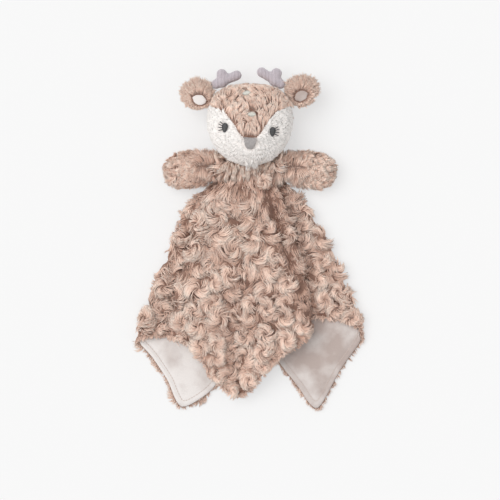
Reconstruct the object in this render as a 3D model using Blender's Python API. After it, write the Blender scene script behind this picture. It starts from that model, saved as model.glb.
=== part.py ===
"""A fawn comfort blanket: a stuffed fawn's head and two stuffed arms sewn to the gathered middle of a
lined square of swirl plush. It lies on its back, the head towards +Y and the face up.

Sizes are in metres. The origin is on the floor, in the middle of the whole toy's outline.
"""

import math

import bmesh
import bpy
import numpy as np
from mathutils import Matrix, Vector

MM = 0.001

# Cloth, seams and clearances
SEAM_GAP = 0.3 * MM
HEAD_WALL = 2.6 * MM
ARM_WALL = 2.6 * MM
PLUSH_WALL = 4 * MM
LINING_WALL = 0.8 * MM
VELOUR_WALL = 1.2 * MM
STITCH_HEIGHT = 1.0 * MM
FLOOR_FLAT = 0.5 * MM
OVERRUN = 20 * MM

# Head, lofted from chin to crown
HEAD_WIDEST_Y = 128.5 * MM
HEAD_HALF_WIDTH = 48.5 * MM
HEAD_HALF_DEPTH = 34 * MM
HEAD_BELOW = 52 * MM
HEAD_ABOVE = 38 * MM
CROWN_FALL_POWER = 0.65
CHIN_FALL_POWER = 0.95
HEAD_RINGS = 14
HEAD_SIDES = 30
HEAD_CENTRE_Z = HEAD_HALF_DEPTH - FLOOR_FLAT
SIDE_SEAM_DROP = 4 * MM
MUZZLE_RISE = 6 * MM
MUZZLE_REACH = 24 * MM

# Face
FACE_ROLL = math.radians(-5)
NOSE_ABOVE_CHIN = 24 * MM
NOSE_WIDTH = 14.5 * MM
NOSE_HEIGHT = 12 * MM
EYE_SPACING = 51 * MM
EYES_ABOVE_NOSE = 14.5 * MM
EYES_SIDESTEP = -2.7 * MM
EYE_WIDTH = 6.2 * MM
EYE_HEIGHT = 10.5 * MM
EYE_TAPER_SHARE = 0.3
LASH_LENGTH = 5.5 * MM
LASH_WIDTH = 1.2 * MM
LASH_ROOTS = ((-0.35, -4), (0.02, 18), (0.4, 40))
BLAZE_HALF_WIDTH = 47 * MM
BLAZE_HEIGHT = 42 * MM
BLAZE_EDGE_SHARES = ((0.15, 0.0), (0.27, 0.16), (0.40, 0.40), (0.57, 0.64), (0.82, 0.77), (1.0, 0.84))
SPOT_LENGTH = 8.5 * MM
SPOT_WIDTH = 5.5 * MM
SPOTS = {
    "forehead_spot_upper": (-8.5 * MM, 53.5 * MM, 20),
    "forehead_spot_lower": (-0.8 * MM, 30.6 * MM, 5),
}

# Gathered neck, a soft roll that the head and the arms are sewn to
NECK_Y = 78 * MM
NECK_RADIUS = 11.5 * MM
NECK_END_RADIUS = 7.5 * MM
NECK_HALF_LENGTH = 33.5 * MM
NECK_SIDES = 20
NECK_Z = PLUSH_WALL - FLOOR_FLAT + SEAM_GAP + LINING_WALL + SEAM_GAP + NECK_RADIUS

# Ears, seated on the side seam; the angle is where on the head's outline, the turn is about +Z
EAR_LENGTH = 30 * MM
EAR_WIDTH = 33 * MM
EAR_ROOT_WIDTH = 15 * MM
EAR_WALL = 5 * MM
EAR_CUP = 5 * MM
EAR_THINNING_SHARE = 0.35
EAR_STATION_SHARES = (
    (0.0, 0.4), (0.0, 0.8), (0.0, 1.0), (0.1, 1.0), (0.24, 1.0), (0.42, 1.0), (0.6, 1.0),
    (0.76, 1.0), (0.89, 1.0), (0.97, 1.0),
)
EAR_LINING_LENGTH_SHARE = 0.6
EAR_LINING_WIDTH_SHARE = 0.4
EAR_LINING_STARTS = {"left": (0.5 * MM, 3 * MM), "right": (2.5 * MM, -3 * MM)}
EARS = {"left": (155, 163), "right": (27.5, 26)}

# Antlers, seated on the crown seam: two tines and a low outer prong on a stub of a stem
ANTLER_THICKNESS = 9.5 * MM
ANTLER_STEM_RADIUS = 6.6 * MM
ANTLER_STEM = 0.6 * MM
ANTLER_TINE_RADIUS = 6.3 * MM
ANTLER_MAIN_TINE = 7.2 * MM
ANTLER_INNER_TINE = 16.5 * MM
ANTLER_OUTER_PRONG = 7.2 * MM
ANTLER_SIDES = 10
ANTLER_TINE_ANGLES = {"main": 4, "inner": -68, "outer": 116}
ANTLER_TINE_SIZE_SHARES = {"main": (0.82, 0.98), "inner": (0.86, 0.88), "outer": (0.78, 0.84)}
ANTLERS = {"left": (128.5, 0), "right": (55, -9)}

# Arms, stuffed paws that swing from the neck roll's ends
ARM_LENGTH = 52 * MM
ARM_WIDTH = 41 * MM
ARM_THICKNESS = 29 * MM
ARM_ROOT_RADIUS = 9 * MM
ARM_ROOT_HALF_WIDTH = 12 * MM
ARM_SLOPE = 8
ARM_SIDES = 20
ARM_PROFILE_SHARES = (
    (0.10, 0.64), (0.24, 0.82), (0.40, 0.95), (0.56, 1.0),
    (0.70, 0.98), (0.82, 0.88), (0.91, 0.70), (0.97, 0.44),
)

# Blanket, gathered at the neck and lying in pleats over its own back layer
SPREAD_HALF_WIDTH = 124 * MM
SKIRT_TOP_Y = 66 * MM
SKIRT_LENGTH = 251.5 * MM
BACK_TONGUE_RISE = 20 * MM
BACK_TONGUE_HALF_WIDTH = 22 * MM
NECK_OPENING_HALF_WIDTH = 34 * MM
STACK_AT_NECK = 23.5 * MM
STACK_AT_HEM = 26 * MM
STACK_PUFF = 6 * MM
FOLD_ROUND = 5 * MM
SKIRT_RINGS = 8
SWELL_RISE = 2.6 * MM
SWELL_SPACING = 22 * MM
SWELL_CUTS = 3
ROUNDED_SPAN = 12.5 * MM
FAN_SHARES = (0.49, 0.21)
CORNER_SAG_SHARE = 0.62
CORNER_SAG_DOWN_SHARES = (0.83, 0.98)
# The cloth runs from fold to fold. Each run has its share of the stack's height, 0 on the floor and 1 on
# top, and its stations: across at the hem, down to the hem, across at the neck.
SIDE_SHARE, TUCK_SHARE = 0.34, 0.63
CLOTH_RUN_SHARES = (
    (SIDE_SHARE, ((-0.945, 0.686, -0.91), (-0.74, 0.685, -0.74), (-0.51, 0.720, -0.58))),
    (TUCK_SHARE, ((-0.51, 0.720, -0.58), (-0.68, 0.682, -0.72))),
    (1.0, ((-0.68, 0.682, -0.72), (-0.57, 0.695, -0.55), (-0.45, 0.760, -0.41), (-0.33, 0.850, -0.28),
           (-0.22, 0.912, -0.17), (-0.11, 0.937, -0.08), (0.00, 0.910, 0.02), (0.11, 0.845, 0.13),
           (0.23, 0.780, 0.25), (0.37, 0.730, 0.40), (0.51, 0.668, 0.56))),
    (TUCK_SHARE, ((0.51, 0.630, 0.56), (0.27, 0.650, 0.34))),
    (SIDE_SHARE, ((0.27, 0.650, 0.34), (0.60, 0.597, 0.66), (0.925, 0.640, 0.91))),
    (0.0, ((0.97, 0.715, 0.93), (0.79, 0.840, 0.72), (0.60, 1.000, 0.50), (0.45, 0.925, 0.36),
           (0.30, 0.830, 0.24), (0.16, 0.777, 0.14), (-0.03, 0.917, 0.00), (-0.195, 0.838, -0.14),
           (-0.337, 0.920, -0.28), (-0.60, 0.995, -0.48), (-0.72, 0.888, -0.64), (-0.86, 0.782, -0.80),
           (-0.97, 0.722, -0.93))),
)

# Colours and finish
COLOURS = {
    "fawn_plush": ((0.52, 0.35, 0.27), 0.95),
    "cream_plush": ((0.82, 0.74, 0.69), 0.95),
    "lining_velour": ((0.80, 0.73, 0.69), 0.9),
    "antler_velour": ((0.47, 0.42, 0.45), 0.9),
    "grey_thread": ((0.36, 0.34, 0.33), 0.6),
    "dark_thread": ((0.10, 0.11, 0.12), 0.6),
    "spot_thread": ((0.80, 0.78, 0.73), 0.7),
    "fibre_fill": ((0.88, 0.88, 0.86), 1.0),
}


def material(name):
    """The named finish, made once."""
    made = bpy.data.materials.get(name)
    if made is None:
        colour, roughness = COLOURS[name]
        made = bpy.data.materials.new(name)
        made.use_nodes = True
        shader = made.node_tree.nodes["Principled BSDF"]
        shader.inputs["Base Color"].default_value = (*colour, 1)
        shader.inputs["Roughness"].default_value = roughness
        shader.inputs["Metallic"].default_value = 0
        made.diffuse_color = (*colour, 1)
    return made


def new_object(name, bm, finish=None):
    """Turns a bmesh into an object with its faces pointing out."""
    bmesh.ops.recalc_face_normals(bm, faces=bm.faces)
    mesh = bpy.data.meshes.new(name)
    bm.to_mesh(mesh)
    bm.free()
    obj = bpy.data.objects.new(name, mesh)
    bpy.context.scene.collection.objects.link(obj)
    if finish:
        mesh.materials.append(material(finish))
    return obj


def combined(name, finish, base, *steps):
    """A new object: base cut, joined or crossed with each tool in turn. The tools stay as they are."""
    obj = bpy.data.objects.new(name, base.data.copy())
    bpy.context.scene.collection.objects.link(obj)
    for operation, tool in steps:
        modifier = obj.modifiers.new(operation, "BOOLEAN")
        modifier.operation = operation
        modifier.object = tool
        modifier.solver = "EXACT"
    graph = bpy.context.evaluated_depsgraph_get()
    mesh = bpy.data.meshes.new_from_object(obj.evaluated_get(graph))
    obj.modifiers.clear()
    obj.data = mesh
    mesh.name = name
    mesh.materials.clear()
    if finish:
        mesh.materials.append(material(finish))
        for polygon in mesh.polygons:
            polygon.material_index = 0
    return obj


def forget(*objects):
    """Removes helper objects once every piece that they shape is made."""
    for obj in objects:
        bpy.data.objects.remove(obj)


def loft(bm, rings, closed=False):
    """Skins rings of points with faces. Open ends get a cap; a closed loft joins last to first."""
    loops = []
    for ring in rings:
        verts = [bm.verts.new(point) for point in ring]
        edges = [bm.edges.new((verts[i - 1], verts[i])) for i in range(len(verts))]
        loops.append(edges)
    pairs = list(zip(loops, loops[1:]))
    if closed:
        pairs.append((loops[-1], loops[0]))
    for lower, upper in pairs:
        bmesh.ops.bridge_loops(bm, edges=lower + upper)
    if not closed:
        for end in (loops[0], loops[-1]):
            bmesh.ops.contextual_create(bm, geom=end)


def ellipse(centre, across, up, sides):
    """A ring of points round centre, from two half-axis vectors."""
    turns = [2 * math.pi * i / sides for i in range(sides)]
    return [centre + across * math.cos(a) + up * math.sin(a) for a in turns]


def prism(name, outline, low, high):
    """A straight-sided solid over a flat outline in plan, from height low to high."""
    bm = bmesh.new()
    loft(bm, [[Vector((x, y, z)) for x, y in outline] for z in (low, high)])
    return new_object(name, bm)


def block(name, low, high):
    """A box between two corners."""
    corners = [(low[0], low[1]), (high[0], low[1]), (high[0], high[1]), (low[0], high[1])]
    return prism(name, corners, low[2], high[2])


def head_fall(rise):
    """The head's width as a share of its widest, at a height that is this share of its reach."""
    power = CROWN_FALL_POWER if rise > 0 else CHIN_FALL_POWER
    return math.sqrt(max(0.0, 1 - rise * rise)) ** power


def head_form(name, offset):
    """The head's rounded body, grown or shrunk all round by offset."""
    bm = bmesh.new()
    rings = []
    nose_y = HEAD_WIDEST_Y - HEAD_BELOW + NOSE_ABOVE_CHIN
    for step in range(1, HEAD_RINGS):
        latitude = math.pi * (step / HEAD_RINGS - 0.5)
        reach = (HEAD_ABOVE if latitude > 0 else HEAD_BELOW) + offset
        y = HEAD_WIDEST_Y + reach * math.sin(latitude)
        scale = head_fall(math.sin(latitude))
        centre = Vector((0, y, HEAD_CENTRE_Z))
        ring = ellipse(centre, Vector(((HEAD_HALF_WIDTH + offset) * scale, 0, 0)),
                       Vector((0, 0, (HEAD_HALF_DEPTH + offset) * scale)), HEAD_SIDES)
        for point in ring:
            lift = max(0.0, (point.z - HEAD_CENTRE_Z) / HEAD_HALF_DEPTH)
            away = (point.x ** 2 + (point.y - nose_y) ** 2) / MUZZLE_REACH ** 2
            point.z += MUZZLE_RISE * lift * math.exp(-away)
        rings.append(ring)
    loft(bm, rings)
    for cap in [face for face in bm.faces if len(face.verts) > 4]:
        pole_y = cap.calc_center_median().y
        top = pole_y > HEAD_WIDEST_Y
        reach = HEAD_ABOVE + offset if top else HEAD_BELOW + offset
        poked = bmesh.ops.poke(bm, faces=[cap])
        poked["verts"][0].co.y = HEAD_WIDEST_Y + (reach if top else -reach)
    return new_object(name, bm)


def neck_form(name, offset):
    """The neck roll, turned about the head's hinge line along X, grown by offset."""
    bm = bmesh.new()
    stations = (-1.0, -0.93, -0.75, -0.45, 0.0, 0.45, 0.75, 0.93, 1.0)
    rings = []
    for share in stations:
        bulge = math.sqrt(max(0.0, 1 - share * share))
        radius = NECK_END_RADIUS * min(1.0, bulge * 2 + 0.3)
        radius += (NECK_RADIUS - NECK_END_RADIUS) * bulge + offset
        x = share * (NECK_HALF_LENGTH + offset)
        centre = Vector((x, NECK_Y, NECK_Z))
        rings.append(ellipse(centre, Vector((0, radius, 0)), Vector((0, 0, radius)), NECK_SIDES))
    loft(bm, rings)
    return new_object(name, bm)


def face_place(x, y, roll=FACE_ROLL):
    """A point of the face in plan, from the nose's centre. The stitched features lean with the roll."""
    nose = Vector((0, HEAD_WIDEST_Y - HEAD_BELOW + NOSE_ABOVE_CHIN))
    return nose + Matrix.Rotation(roll, 2) @ Vector((x, y))


def blaze_outline(gap):
    """The brown V between the cheeks, in plan, drawn in by half the seam gap."""
    side = [(BLAZE_HALF_WIDTH * x, NOSE_HEIGHT / 2 + BLAZE_HEIGHT * y) for x, y in BLAZE_EDGE_SHARES]
    above = side[-1][1] + HEAD_ABOVE
    right = [(x - gap / 2, y + gap / 2) for x, y in side] + [(BLAZE_HALF_WIDTH + OVERRUN, above)]
    left = [(-x, y) for x, y in reversed(right)]
    return [face_place(x, y, 0) for x, y in right + left]


def on_face(name, outline, finish, outer, inner):
    """A stitched patch with this outline that lies on the head's curve."""
    tool = prism("tool", outline, HEAD_CENTRE_Z, HEAD_CENTRE_Z + HEAD_HALF_DEPTH + OVERRUN)
    patch = combined(name, finish, tool, ("INTERSECT", outer), ("DIFFERENCE", inner))
    forget(tool)
    return patch


def make_head():
    """Five sewn panels round a ball of fibre fill, cut away round the neck roll."""
    outer = head_form("head_outer", 0)
    inner = head_form("head_inner", -HEAD_WALL)
    fill = head_form("head_fill", -HEAD_WALL - SEAM_GAP)
    neck = neck_form("neck_clearance", SEAM_GAP)
    half = HEAD_HALF_WIDTH + OVERRUN
    low_y = HEAD_WIDEST_Y - HEAD_BELOW - OVERRUN
    high_y = HEAD_WIDEST_Y + HEAD_ABOVE + OVERRUN
    seam_z = HEAD_CENTRE_Z - SIDE_SEAM_DROP
    top_z = HEAD_CENTRE_Z + HEAD_HALF_DEPTH + OVERRUN
    gap = SEAM_GAP / 2
    front_left = block("front_left", (-half, low_y, seam_z + gap), (-gap, high_y, top_z))
    front_right = block("front_right", (gap, low_y, seam_z + gap), (half, high_y, top_z))
    front = block("front", (-half, low_y, seam_z + gap), (half, high_y, top_z))
    back_left = block("back_left", (-half, low_y, 0), (-gap, high_y, seam_z - gap))
    back_right = block("back_right", (gap, low_y, 0), (half, high_y, seam_z - gap))
    blaze = prism("blaze", blaze_outline(SEAM_GAP), 0, top_z)
    blaze_clear = prism("blaze_clear", blaze_outline(-SEAM_GAP), 0, top_z)
    wall = (("DIFFERENCE", inner), ("DIFFERENCE", neck))
    clear = ("DIFFERENCE", blaze_clear)
    combined("cheek_left", "cream_plush", outer, ("INTERSECT", front_left), clear, *wall)
    combined("cheek_right", "cream_plush", outer, ("INTERSECT", front_right), clear, *wall)
    combined("forehead_panel", "fawn_plush", outer, ("INTERSECT", front), ("INTERSECT", blaze), *wall)
    combined("head_back_left", "fawn_plush", outer, ("INTERSECT", back_left), *wall)
    combined("head_back_right", "fawn_plush", outer, ("INTERSECT", back_right), *wall)
    combined("head_stuffing", "fibre_fill", fill, ("DIFFERENCE", neck))
    forget(outer, inner, fill, neck, front, front_left, front_right, back_left, back_right)
    forget(blaze, blaze_clear)


def nose_outline():
    """A shield: flat on top, drawn in to a rounded foot."""
    half, foot = NOSE_WIDTH / 2, NOSE_WIDTH / 2 * 0.55
    points = [(-half, NOSE_HEIGHT / 2), (half, NOSE_HEIGHT / 2), (half * 0.86, 0)]
    points += [(foot * math.cos(a), -NOSE_HEIGHT / 2 + foot * 0.45 * (1 + math.sin(a)))
               for a in np.linspace(0, -math.pi, 7)]
    points.append((-half * 0.86, 0))
    return [face_place(x, y) for x, y in points]


def eye_outline(side):
    """A drop-shaped eye, broad on top, with three lashes on its outer edge. side is -1 left and 1 right."""
    middle = Vector((side * EYE_SPACING / 2 + EYES_SIDESTEP, EYES_ABOVE_NOSE))

    def edge(height):
        half = EYE_WIDTH / 2 * math.sqrt(1 - height * height) * (1 + EYE_TAPER_SHARE * height)
        return Vector((side * half, height * EYE_HEIGHT / 2))

    inner = [edge(height) * Vector((-1, 1)) for height in (0.98, 0.8, 0.4, -0.1, -0.55, -0.85)]
    points = inner + [edge(-0.98), edge(-0.75)]
    for root, angle in LASH_ROOTS:
        a = math.radians(angle)
        away = Vector((side * math.cos(a), math.sin(a)))
        across = Vector((-side * math.sin(a), math.cos(a))) * LASH_WIDTH / 2
        points += [edge(root) - across, edge(root) + away * LASH_LENGTH, edge(root) + across]
    points += [edge(0.75), edge(0.94)]
    return [face_place(*(middle + point)) for point in points]


def make_face():
    """Nose, eyes and forehead spots in satin stitch, each lying on the head's curve."""
    outer = head_form("stitch_outer", SEAM_GAP + STITCH_HEIGHT)
    inner = head_form("stitch_inner", SEAM_GAP)
    on_face("nose_embroidery", nose_outline(), "grey_thread", outer, inner)
    on_face("eye_left", eye_outline(-1), "dark_thread", outer, inner)
    on_face("eye_right", eye_outline(1), "dark_thread", outer, inner)
    for name, (x, y, tilt) in SPOTS.items():
        turn = Matrix.Rotation(math.radians(tilt), 2)
        oval = [Vector((SPOT_LENGTH / 2 * math.cos(a), SPOT_WIDTH / 2 * math.sin(a)))
                for a in np.linspace(0, 2 * math.pi, 12, endpoint=False)]
        outline = [face_place(*(Vector((x, y)) + turn @ point)) for point in oval]
        on_face(name, outline, "spot_thread", outer, inner)
    forget(outer, inner)


def head_edge(angle):
    """The point of the head's outline in plan in this direction from its centre, and the outward normal."""
    def at(degrees):
        a = math.radians(degrees)
        low, high = 0.0, HEAD_HALF_WIDTH + HEAD_BELOW
        for _ in range(40):
            middle = (low + high) / 2
            rise = middle * math.sin(a) / (HEAD_ABOVE if a > 0 else HEAD_BELOW)
            inside = abs(middle * math.cos(a)) < HEAD_HALF_WIDTH * head_fall(rise)
            low, high = (middle, high) if inside else (low, middle)
        return Vector((low * math.cos(a), HEAD_WIDEST_Y + low * math.sin(a), HEAD_CENTRE_Z - SIDE_SEAM_DROP))
    here = at(angle)
    along = at(angle + 2) - at(angle - 2)
    normal = Vector((along.y, -along.x, 0)).normalized()
    return here, normal


def hinge_frame(angle, clearance, turn):
    """A frame on the head's seam: its +X runs out along the piece, +Z up, and it stands clear of the head."""
    here, normal = head_edge(angle)
    return Matrix.Translation(here + normal * clearance) @ Matrix.Rotation(math.radians(turn), 4, "Z")


def ear_half_width(share):
    """Half the ear's width at a share of its length: a leaf with a narrow root and a rounded tip."""
    root = EAR_ROOT_WIDTH / 2 * (1 - share) ** 2
    return root + (EAR_WIDTH / 2) * math.sin(math.pi * min(1.0, share * 0.97 + 0.02)) ** 0.7


def ear_form(name, place, offset, length, width_share):
    """A cupped leaf with a rounded heel, lofted from root to tip."""
    bm = bmesh.new()
    rings = []
    for share, full in EAR_STATION_SHARES:
        half = (ear_half_width(share) * width_share + offset) * math.sqrt(full)
        thick = (EAR_WALL / 2 * (1 - EAR_THINNING_SHARE * share) + offset) * full
        x = share * (length + 2 * offset) - offset
        x -= math.sqrt(1 - full * full) * (EAR_WALL / 2 + offset) * (share == 0)
        ring = ellipse(Vector((x, 0, 0)), Vector((0, half, 0)), Vector((0, 0, thick)), 16)
        for point in ring:
            point.z += EAR_CUP * (point.y / (EAR_WIDTH / 2)) ** 2
        rings.append(ring)
    loft(bm, rings)
    obj = new_object(name, bm)
    obj.data.transform(place)
    return obj


def make_ears():
    """A cupped plush leaf on each side with a pale lining let into its front."""
    for side, (angle, turn) in EARS.items():
        place = hinge_frame(angle, EAR_WALL / 2 + SEAM_GAP, turn)
        outer = ear_form("ear_blank", place, 0, EAR_LENGTH, 1)
        length = EAR_LENGTH * EAR_LINING_LENGTH_SHARE
        start = Matrix.Translation((*EAR_LINING_STARTS[side], EAR_WALL / 2))
        inset = -EAR_WALL / 4
        lining = ear_form("lining_blank", place @ start, inset, length, EAR_LINING_WIDTH_SHARE)
        seat = ear_form("lining_seat", place @ start, inset + SEAM_GAP, length, EAR_LINING_WIDTH_SHARE)
        combined(f"ear_{side}_outer", "fawn_plush", outer, ("DIFFERENCE", seat))
        combined(f"ear_{side}_lining", "lining_velour", lining)
        forget(outer, lining, seat)


def capsule(name, start, end, radius_start, radius_end, flatten):
    """A tapered bar with round ends, flattened in height."""
    bm = bmesh.new()
    way = (end - start).normalized()
    across = Vector((-way.y, way.x, 0))
    rings = []
    for share in (-0.96, -0.7, -0.3):
        rings.append((start + way * radius_start * share, radius_start * math.sqrt(1 - share * share)))
    for share in (0.3, 0.7, 0.96):
        rings.append((end + way * radius_end * share, radius_end * math.sqrt(1 - share * share)))
    loft(bm, [ellipse(centre, across * radius, Vector((0, 0, radius * flatten)), ANTLER_SIDES)
              for centre, radius in rings])
    return new_object(name, bm)


def antler_form(name, place, inner_side, offset):
    """The whole antler as one body, grown by offset. inner_side is +1 where the head's middle is at +Y."""
    flatten = ANTLER_THICKNESS / 2 / ANTLER_TINE_RADIUS
    fork = Vector((ANTLER_STEM, 0, 0))
    tine = ANTLER_TINE_RADIUS + offset
    stem = capsule("stem", Vector((0, 0, 0)), fork, ANTLER_STEM_RADIUS + offset, tine, flatten)
    lengths = {"main": ANTLER_MAIN_TINE, "inner": ANTLER_INNER_TINE, "outer": ANTLER_OUTER_PRONG}
    prongs = []
    for kind, length in lengths.items():
        a = math.radians(ANTLER_TINE_ANGLES[kind]) * -inner_side
        tip = fork + Vector((math.cos(a), math.sin(a), 0)) * length
        at_fork, at_tip = (tine * share for share in ANTLER_TINE_SIZE_SHARES[kind])
        prongs.append(capsule(kind, fork, tip, at_fork, at_tip, flatten))
    whole = combined(name, None, stem, *(("UNION", prong) for prong in prongs))
    whole.data.transform(place)
    forget(stem, *prongs)
    return whole


def make_antlers():
    """Velour covers of two sewn halves round their own fibre fill, open where they enter the head's seam."""
    for side, (angle, lean) in ANTLERS.items():
        inner_side = -1 if side == "left" else 1
        place = hinge_frame(angle, ANTLER_STEM_RADIUS + SEAM_GAP, 90 + lean)
        forms = [antler_form(f"antler_{n}", place, inner_side, -inset)
                 for n, inset in enumerate((0, VELOUR_WALL, VELOUR_WALL + SEAM_GAP))]
        outer, inner, fill = forms
        reach = ANTLER_STEM + ANTLER_INNER_TINE + OVERRUN
        middle = place.translation
        gap = SEAM_GAP / 2
        front = block("front", (middle.x - reach, middle.y - reach, middle.z + gap),
                      (middle.x + reach, middle.y + reach, middle.z + OVERRUN))
        back = block("back", (middle.x - reach, middle.y - reach, middle.z - OVERRUN),
                     (middle.x + reach, middle.y + reach, middle.z - gap))
        combined(f"antler_{side}_front", "antler_velour", outer, ("INTERSECT", front), ("DIFFERENCE", inner))
        combined(f"antler_{side}_back", "antler_velour", outer, ("INTERSECT", back), ("DIFFERENCE", inner))
        combined(f"antler_{side}_stuffing", "fibre_fill", fill)
        forget(outer, inner, fill, front, back)


def arm_place(side):
    """The arm's frame at its shoulder seam; side is -1 on the left, 1 on the right."""
    x = side * (NECK_HALF_LENGTH + SEAM_GAP + ARM_ROOT_RADIUS)
    turn = math.radians(-ARM_SLOPE) if side > 0 else math.radians(180 + ARM_SLOPE)
    return Matrix.Translation((x, NECK_Y, NECK_Z)) @ Matrix.Rotation(turn, 4, "Z")


def arm_form(name, place, offset):
    """A stuffed paw, narrow and round at the shoulder, swelling to a blunt tip."""
    bm = bmesh.new()
    rings = []
    root, root_wide = ARM_ROOT_RADIUS + offset, ARM_ROOT_HALF_WIDTH + offset
    drop = Vector((0, 0, ARM_THICKNESS / 2 - FLOOR_FLAT - NECK_Z))
    for share in (-0.97, -0.75, -0.4):
        round_off = math.sqrt(1 - share * share)
        rings.append(ellipse(Vector((root * share, 0, 0)), Vector((0, root_wide * round_off, 0)),
                             Vector((0, 0, root * round_off)), ARM_SIDES))
    for along, wide in ARM_PROFILE_SHARES:
        x = along * (ARM_LENGTH + offset)
        half, thick = ARM_WIDTH / 2 * wide + offset, ARM_THICKNESS / 2 * wide + offset
        sunk = drop * min(1.0, along * 2.2)
        centre = Vector((x, 0, 0)) + sunk
        rings.append(ellipse(centre, Vector((0, half, 0)), Vector((0, 0, thick)), ARM_SIDES))
    loft(bm, rings)
    obj = new_object(name, bm)
    obj.data.transform(place)
    return obj


def make_arms():
    """Two sewn halves each round a fibre fill, open at the shoulder, where the fill meets the neck."""
    for side, sign in (("left", -1), ("right", 1)):
        place = arm_place(sign)
        outer = arm_form("arm_outer", place, 0)
        inner = arm_form("arm_inner", place, -ARM_WALL)
        fill = arm_form("arm_fill", place, -ARM_WALL - SEAM_GAP)
        middle = place.translation
        reach = ARM_LENGTH + OVERRUN
        gap = SEAM_GAP / 2
        seam_z = ARM_THICKNESS / 2
        front = block("front", (middle.x - reach, middle.y - reach, seam_z + gap),
                      (middle.x + reach, middle.y + reach, seam_z + reach))
        back = block("back", (middle.x - reach, middle.y - reach, 0),
                     (middle.x + reach, middle.y + reach, seam_z - gap))
        combined(f"arm_{side}_front", "fawn_plush", outer, ("INTERSECT", front), ("DIFFERENCE", inner))
        combined(f"arm_{side}_back", "fawn_plush", outer, ("INTERSECT", back), ("DIFFERENCE", inner))
        combined(f"arm_{side}_stuffing", "fibre_fill", fill)
        forget(outer, inner, fill, front, back)


def cloth_stations():
    """The stations of every run with a rounded fold between each run and the next, round the whole cloth."""
    stations = []
    runs = [[(x * SPREAD_HALF_WIDTH, y * SKIRT_LENGTH, neck * NECK_OPENING_HALF_WIDTH, layer)
             for x, y, neck in points] for layer, points in CLOTH_RUN_SHARES]
    for run, following in zip(runs, runs[1:] + runs[:1]):
        onward = math.copysign(FOLD_ROUND, run[-1][0] - run[0][0])
        stations += run
        stations.append(np.add(run[-1], following[0]) / 2 + (onward, 0, onward, 0))
    return np.array(stations)


def through(stations):
    """The stations with a smooth point added on each short span over a fold, round a closed loop."""
    count = len(stations)
    points = []
    for i in range(count):
        before, here, after, beyond = (stations[(i + k) % count] for k in (-1, 0, 1, 2))
        points.append(here)
        if math.dist(here[:2], after[:2]) < ROUNDED_SPAN:
            points.append((9 * (here + after) - before - beyond) / 16)
    return np.array(points)


def skirt_sheet():
    """The cloth's middle surface as rings of points from neck to hem."""
    hem_x, hem_down, neck_x, layer = through(cloth_stations()).T
    on_floor = np.clip(1 - layer / SIDE_SHARE, 0, 1)
    tongue = BACK_TONGUE_RISE * on_floor * np.clip(1 - (neck_x / BACK_TONGUE_HALF_WIDTH) ** 2, 0, 1)
    start = np.stack([neck_x, SKIRT_TOP_Y - PLUSH_WALL + tongue], 1)
    end = np.stack([hem_x, SKIRT_TOP_Y - hem_down], 1)
    bend = start + (end - start) * np.array(FAN_SHARES)
    sag_from, sag_to = CORNER_SAG_DOWN_SHARES
    low = np.clip((hem_down / SKIRT_LENGTH - sag_from) / (sag_to - sag_from), 0, 1)
    hem_layer = layer * (1 - CORNER_SAG_SHARE * low * (layer > TUCK_SHARE))
    sheet = []
    for t in np.linspace(0, 1, SKIRT_RINGS):
        plan = (1 - t) ** 2 * start + 2 * t * (1 - t) * bend + t * t * end
        stack = STACK_AT_NECK + (STACK_AT_HEM - STACK_AT_NECK) * t + STACK_PUFF * math.sin(math.pi * t)
        height = layer + (hem_layer - layer) * t ** 4
        z = PLUSH_WALL / 2 - FLOOR_FLAT + stack * height
        sheet.append(np.column_stack([plan, z]))
    return np.array(sheet)


def sheet_normals(sheet):
    """Unit normals of the middle surface, pointing out of the plush side."""
    step = np.roll(sheet, -1, 1) - sheet
    step /= np.linalg.norm(step, axis=2, keepdims=True)
    round_loop = step + np.roll(step, 1, 1)
    down = np.gradient(sheet, axis=0)
    normal = np.cross(down, round_loop)
    return normal / np.linalg.norm(normal, axis=2, keepdims=True)


def cloth_shell(name, finish, near, far, swelling=False):
    """A closed wall along the cloth between two distances from its middle, flat on the floor."""
    sheet = skirt_sheet()
    normals = sheet_normals(sheet)
    rings = [*(sheet + normals * near), *(sheet + normals * far)[::-1]]
    bm = bmesh.new()
    loft(bm, [[Vector(p) for p in ring] for ring in rings], closed=True)
    if swelling:
        swell(bm)
    bmesh.ops.triangulate(bm, faces=bm.faces)
    cut = bmesh.ops.bisect_plane(bm, geom=[*bm.verts, *bm.edges, *bm.faces], plane_co=(0, 0, 0),
                                 plane_no=(0, 0, -1), clear_outer=True)
    edges = [e for e in cut["geom_cut"] if isinstance(e, bmesh.types.BMEdge) and e.is_boundary]
    bmesh.ops.holes_fill(bm, edges=edges or [e for e in bm.edges if e.is_boundary])
    return new_object(name, bm, finish)


def swell(bm):
    """Raises the plush in rows of staggered round swells where the cloth lies open to view."""
    layer = through(cloth_stations())[:, 3]
    in_view = np.isin(layer, (SIDE_SHARE, 1.0))
    inside = in_view & np.roll(in_view, 1) & np.roll(in_view, -1)
    share = bm.verts.layers.float.new("share")
    column_of = {}
    for i, vert in enumerate(bm.verts):
        ring, column = divmod(i, len(layer))
        if 0 < ring < SKIRT_RINGS and in_view[column]:
            column_of[vert] = column
            vert[share] = float(inside[column] and 1 < ring < SKIRT_RINGS - 1)
    down_edges = [e for e in bm.edges
                  if column_of.keys() >= set(e.verts) and len({column_of[v] for v in e.verts}) == 1]
    bmesh.ops.subdivide_edges(bm, edges=down_edges, cuts=SWELL_CUTS)
    bm.normal_update()
    for vert, normal in [(v, v.normal.copy()) for v in bm.verts if v[share] > 0]:
        across = math.cos(2 * math.pi * vert.co.x / (SWELL_SPACING * math.sqrt(3)))
        down = math.cos(2 * math.pi * vert.co.y / SWELL_SPACING)
        vert.co += normal * SWELL_RISE * across * down * min(1.0, 2 * vert[share])


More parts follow.
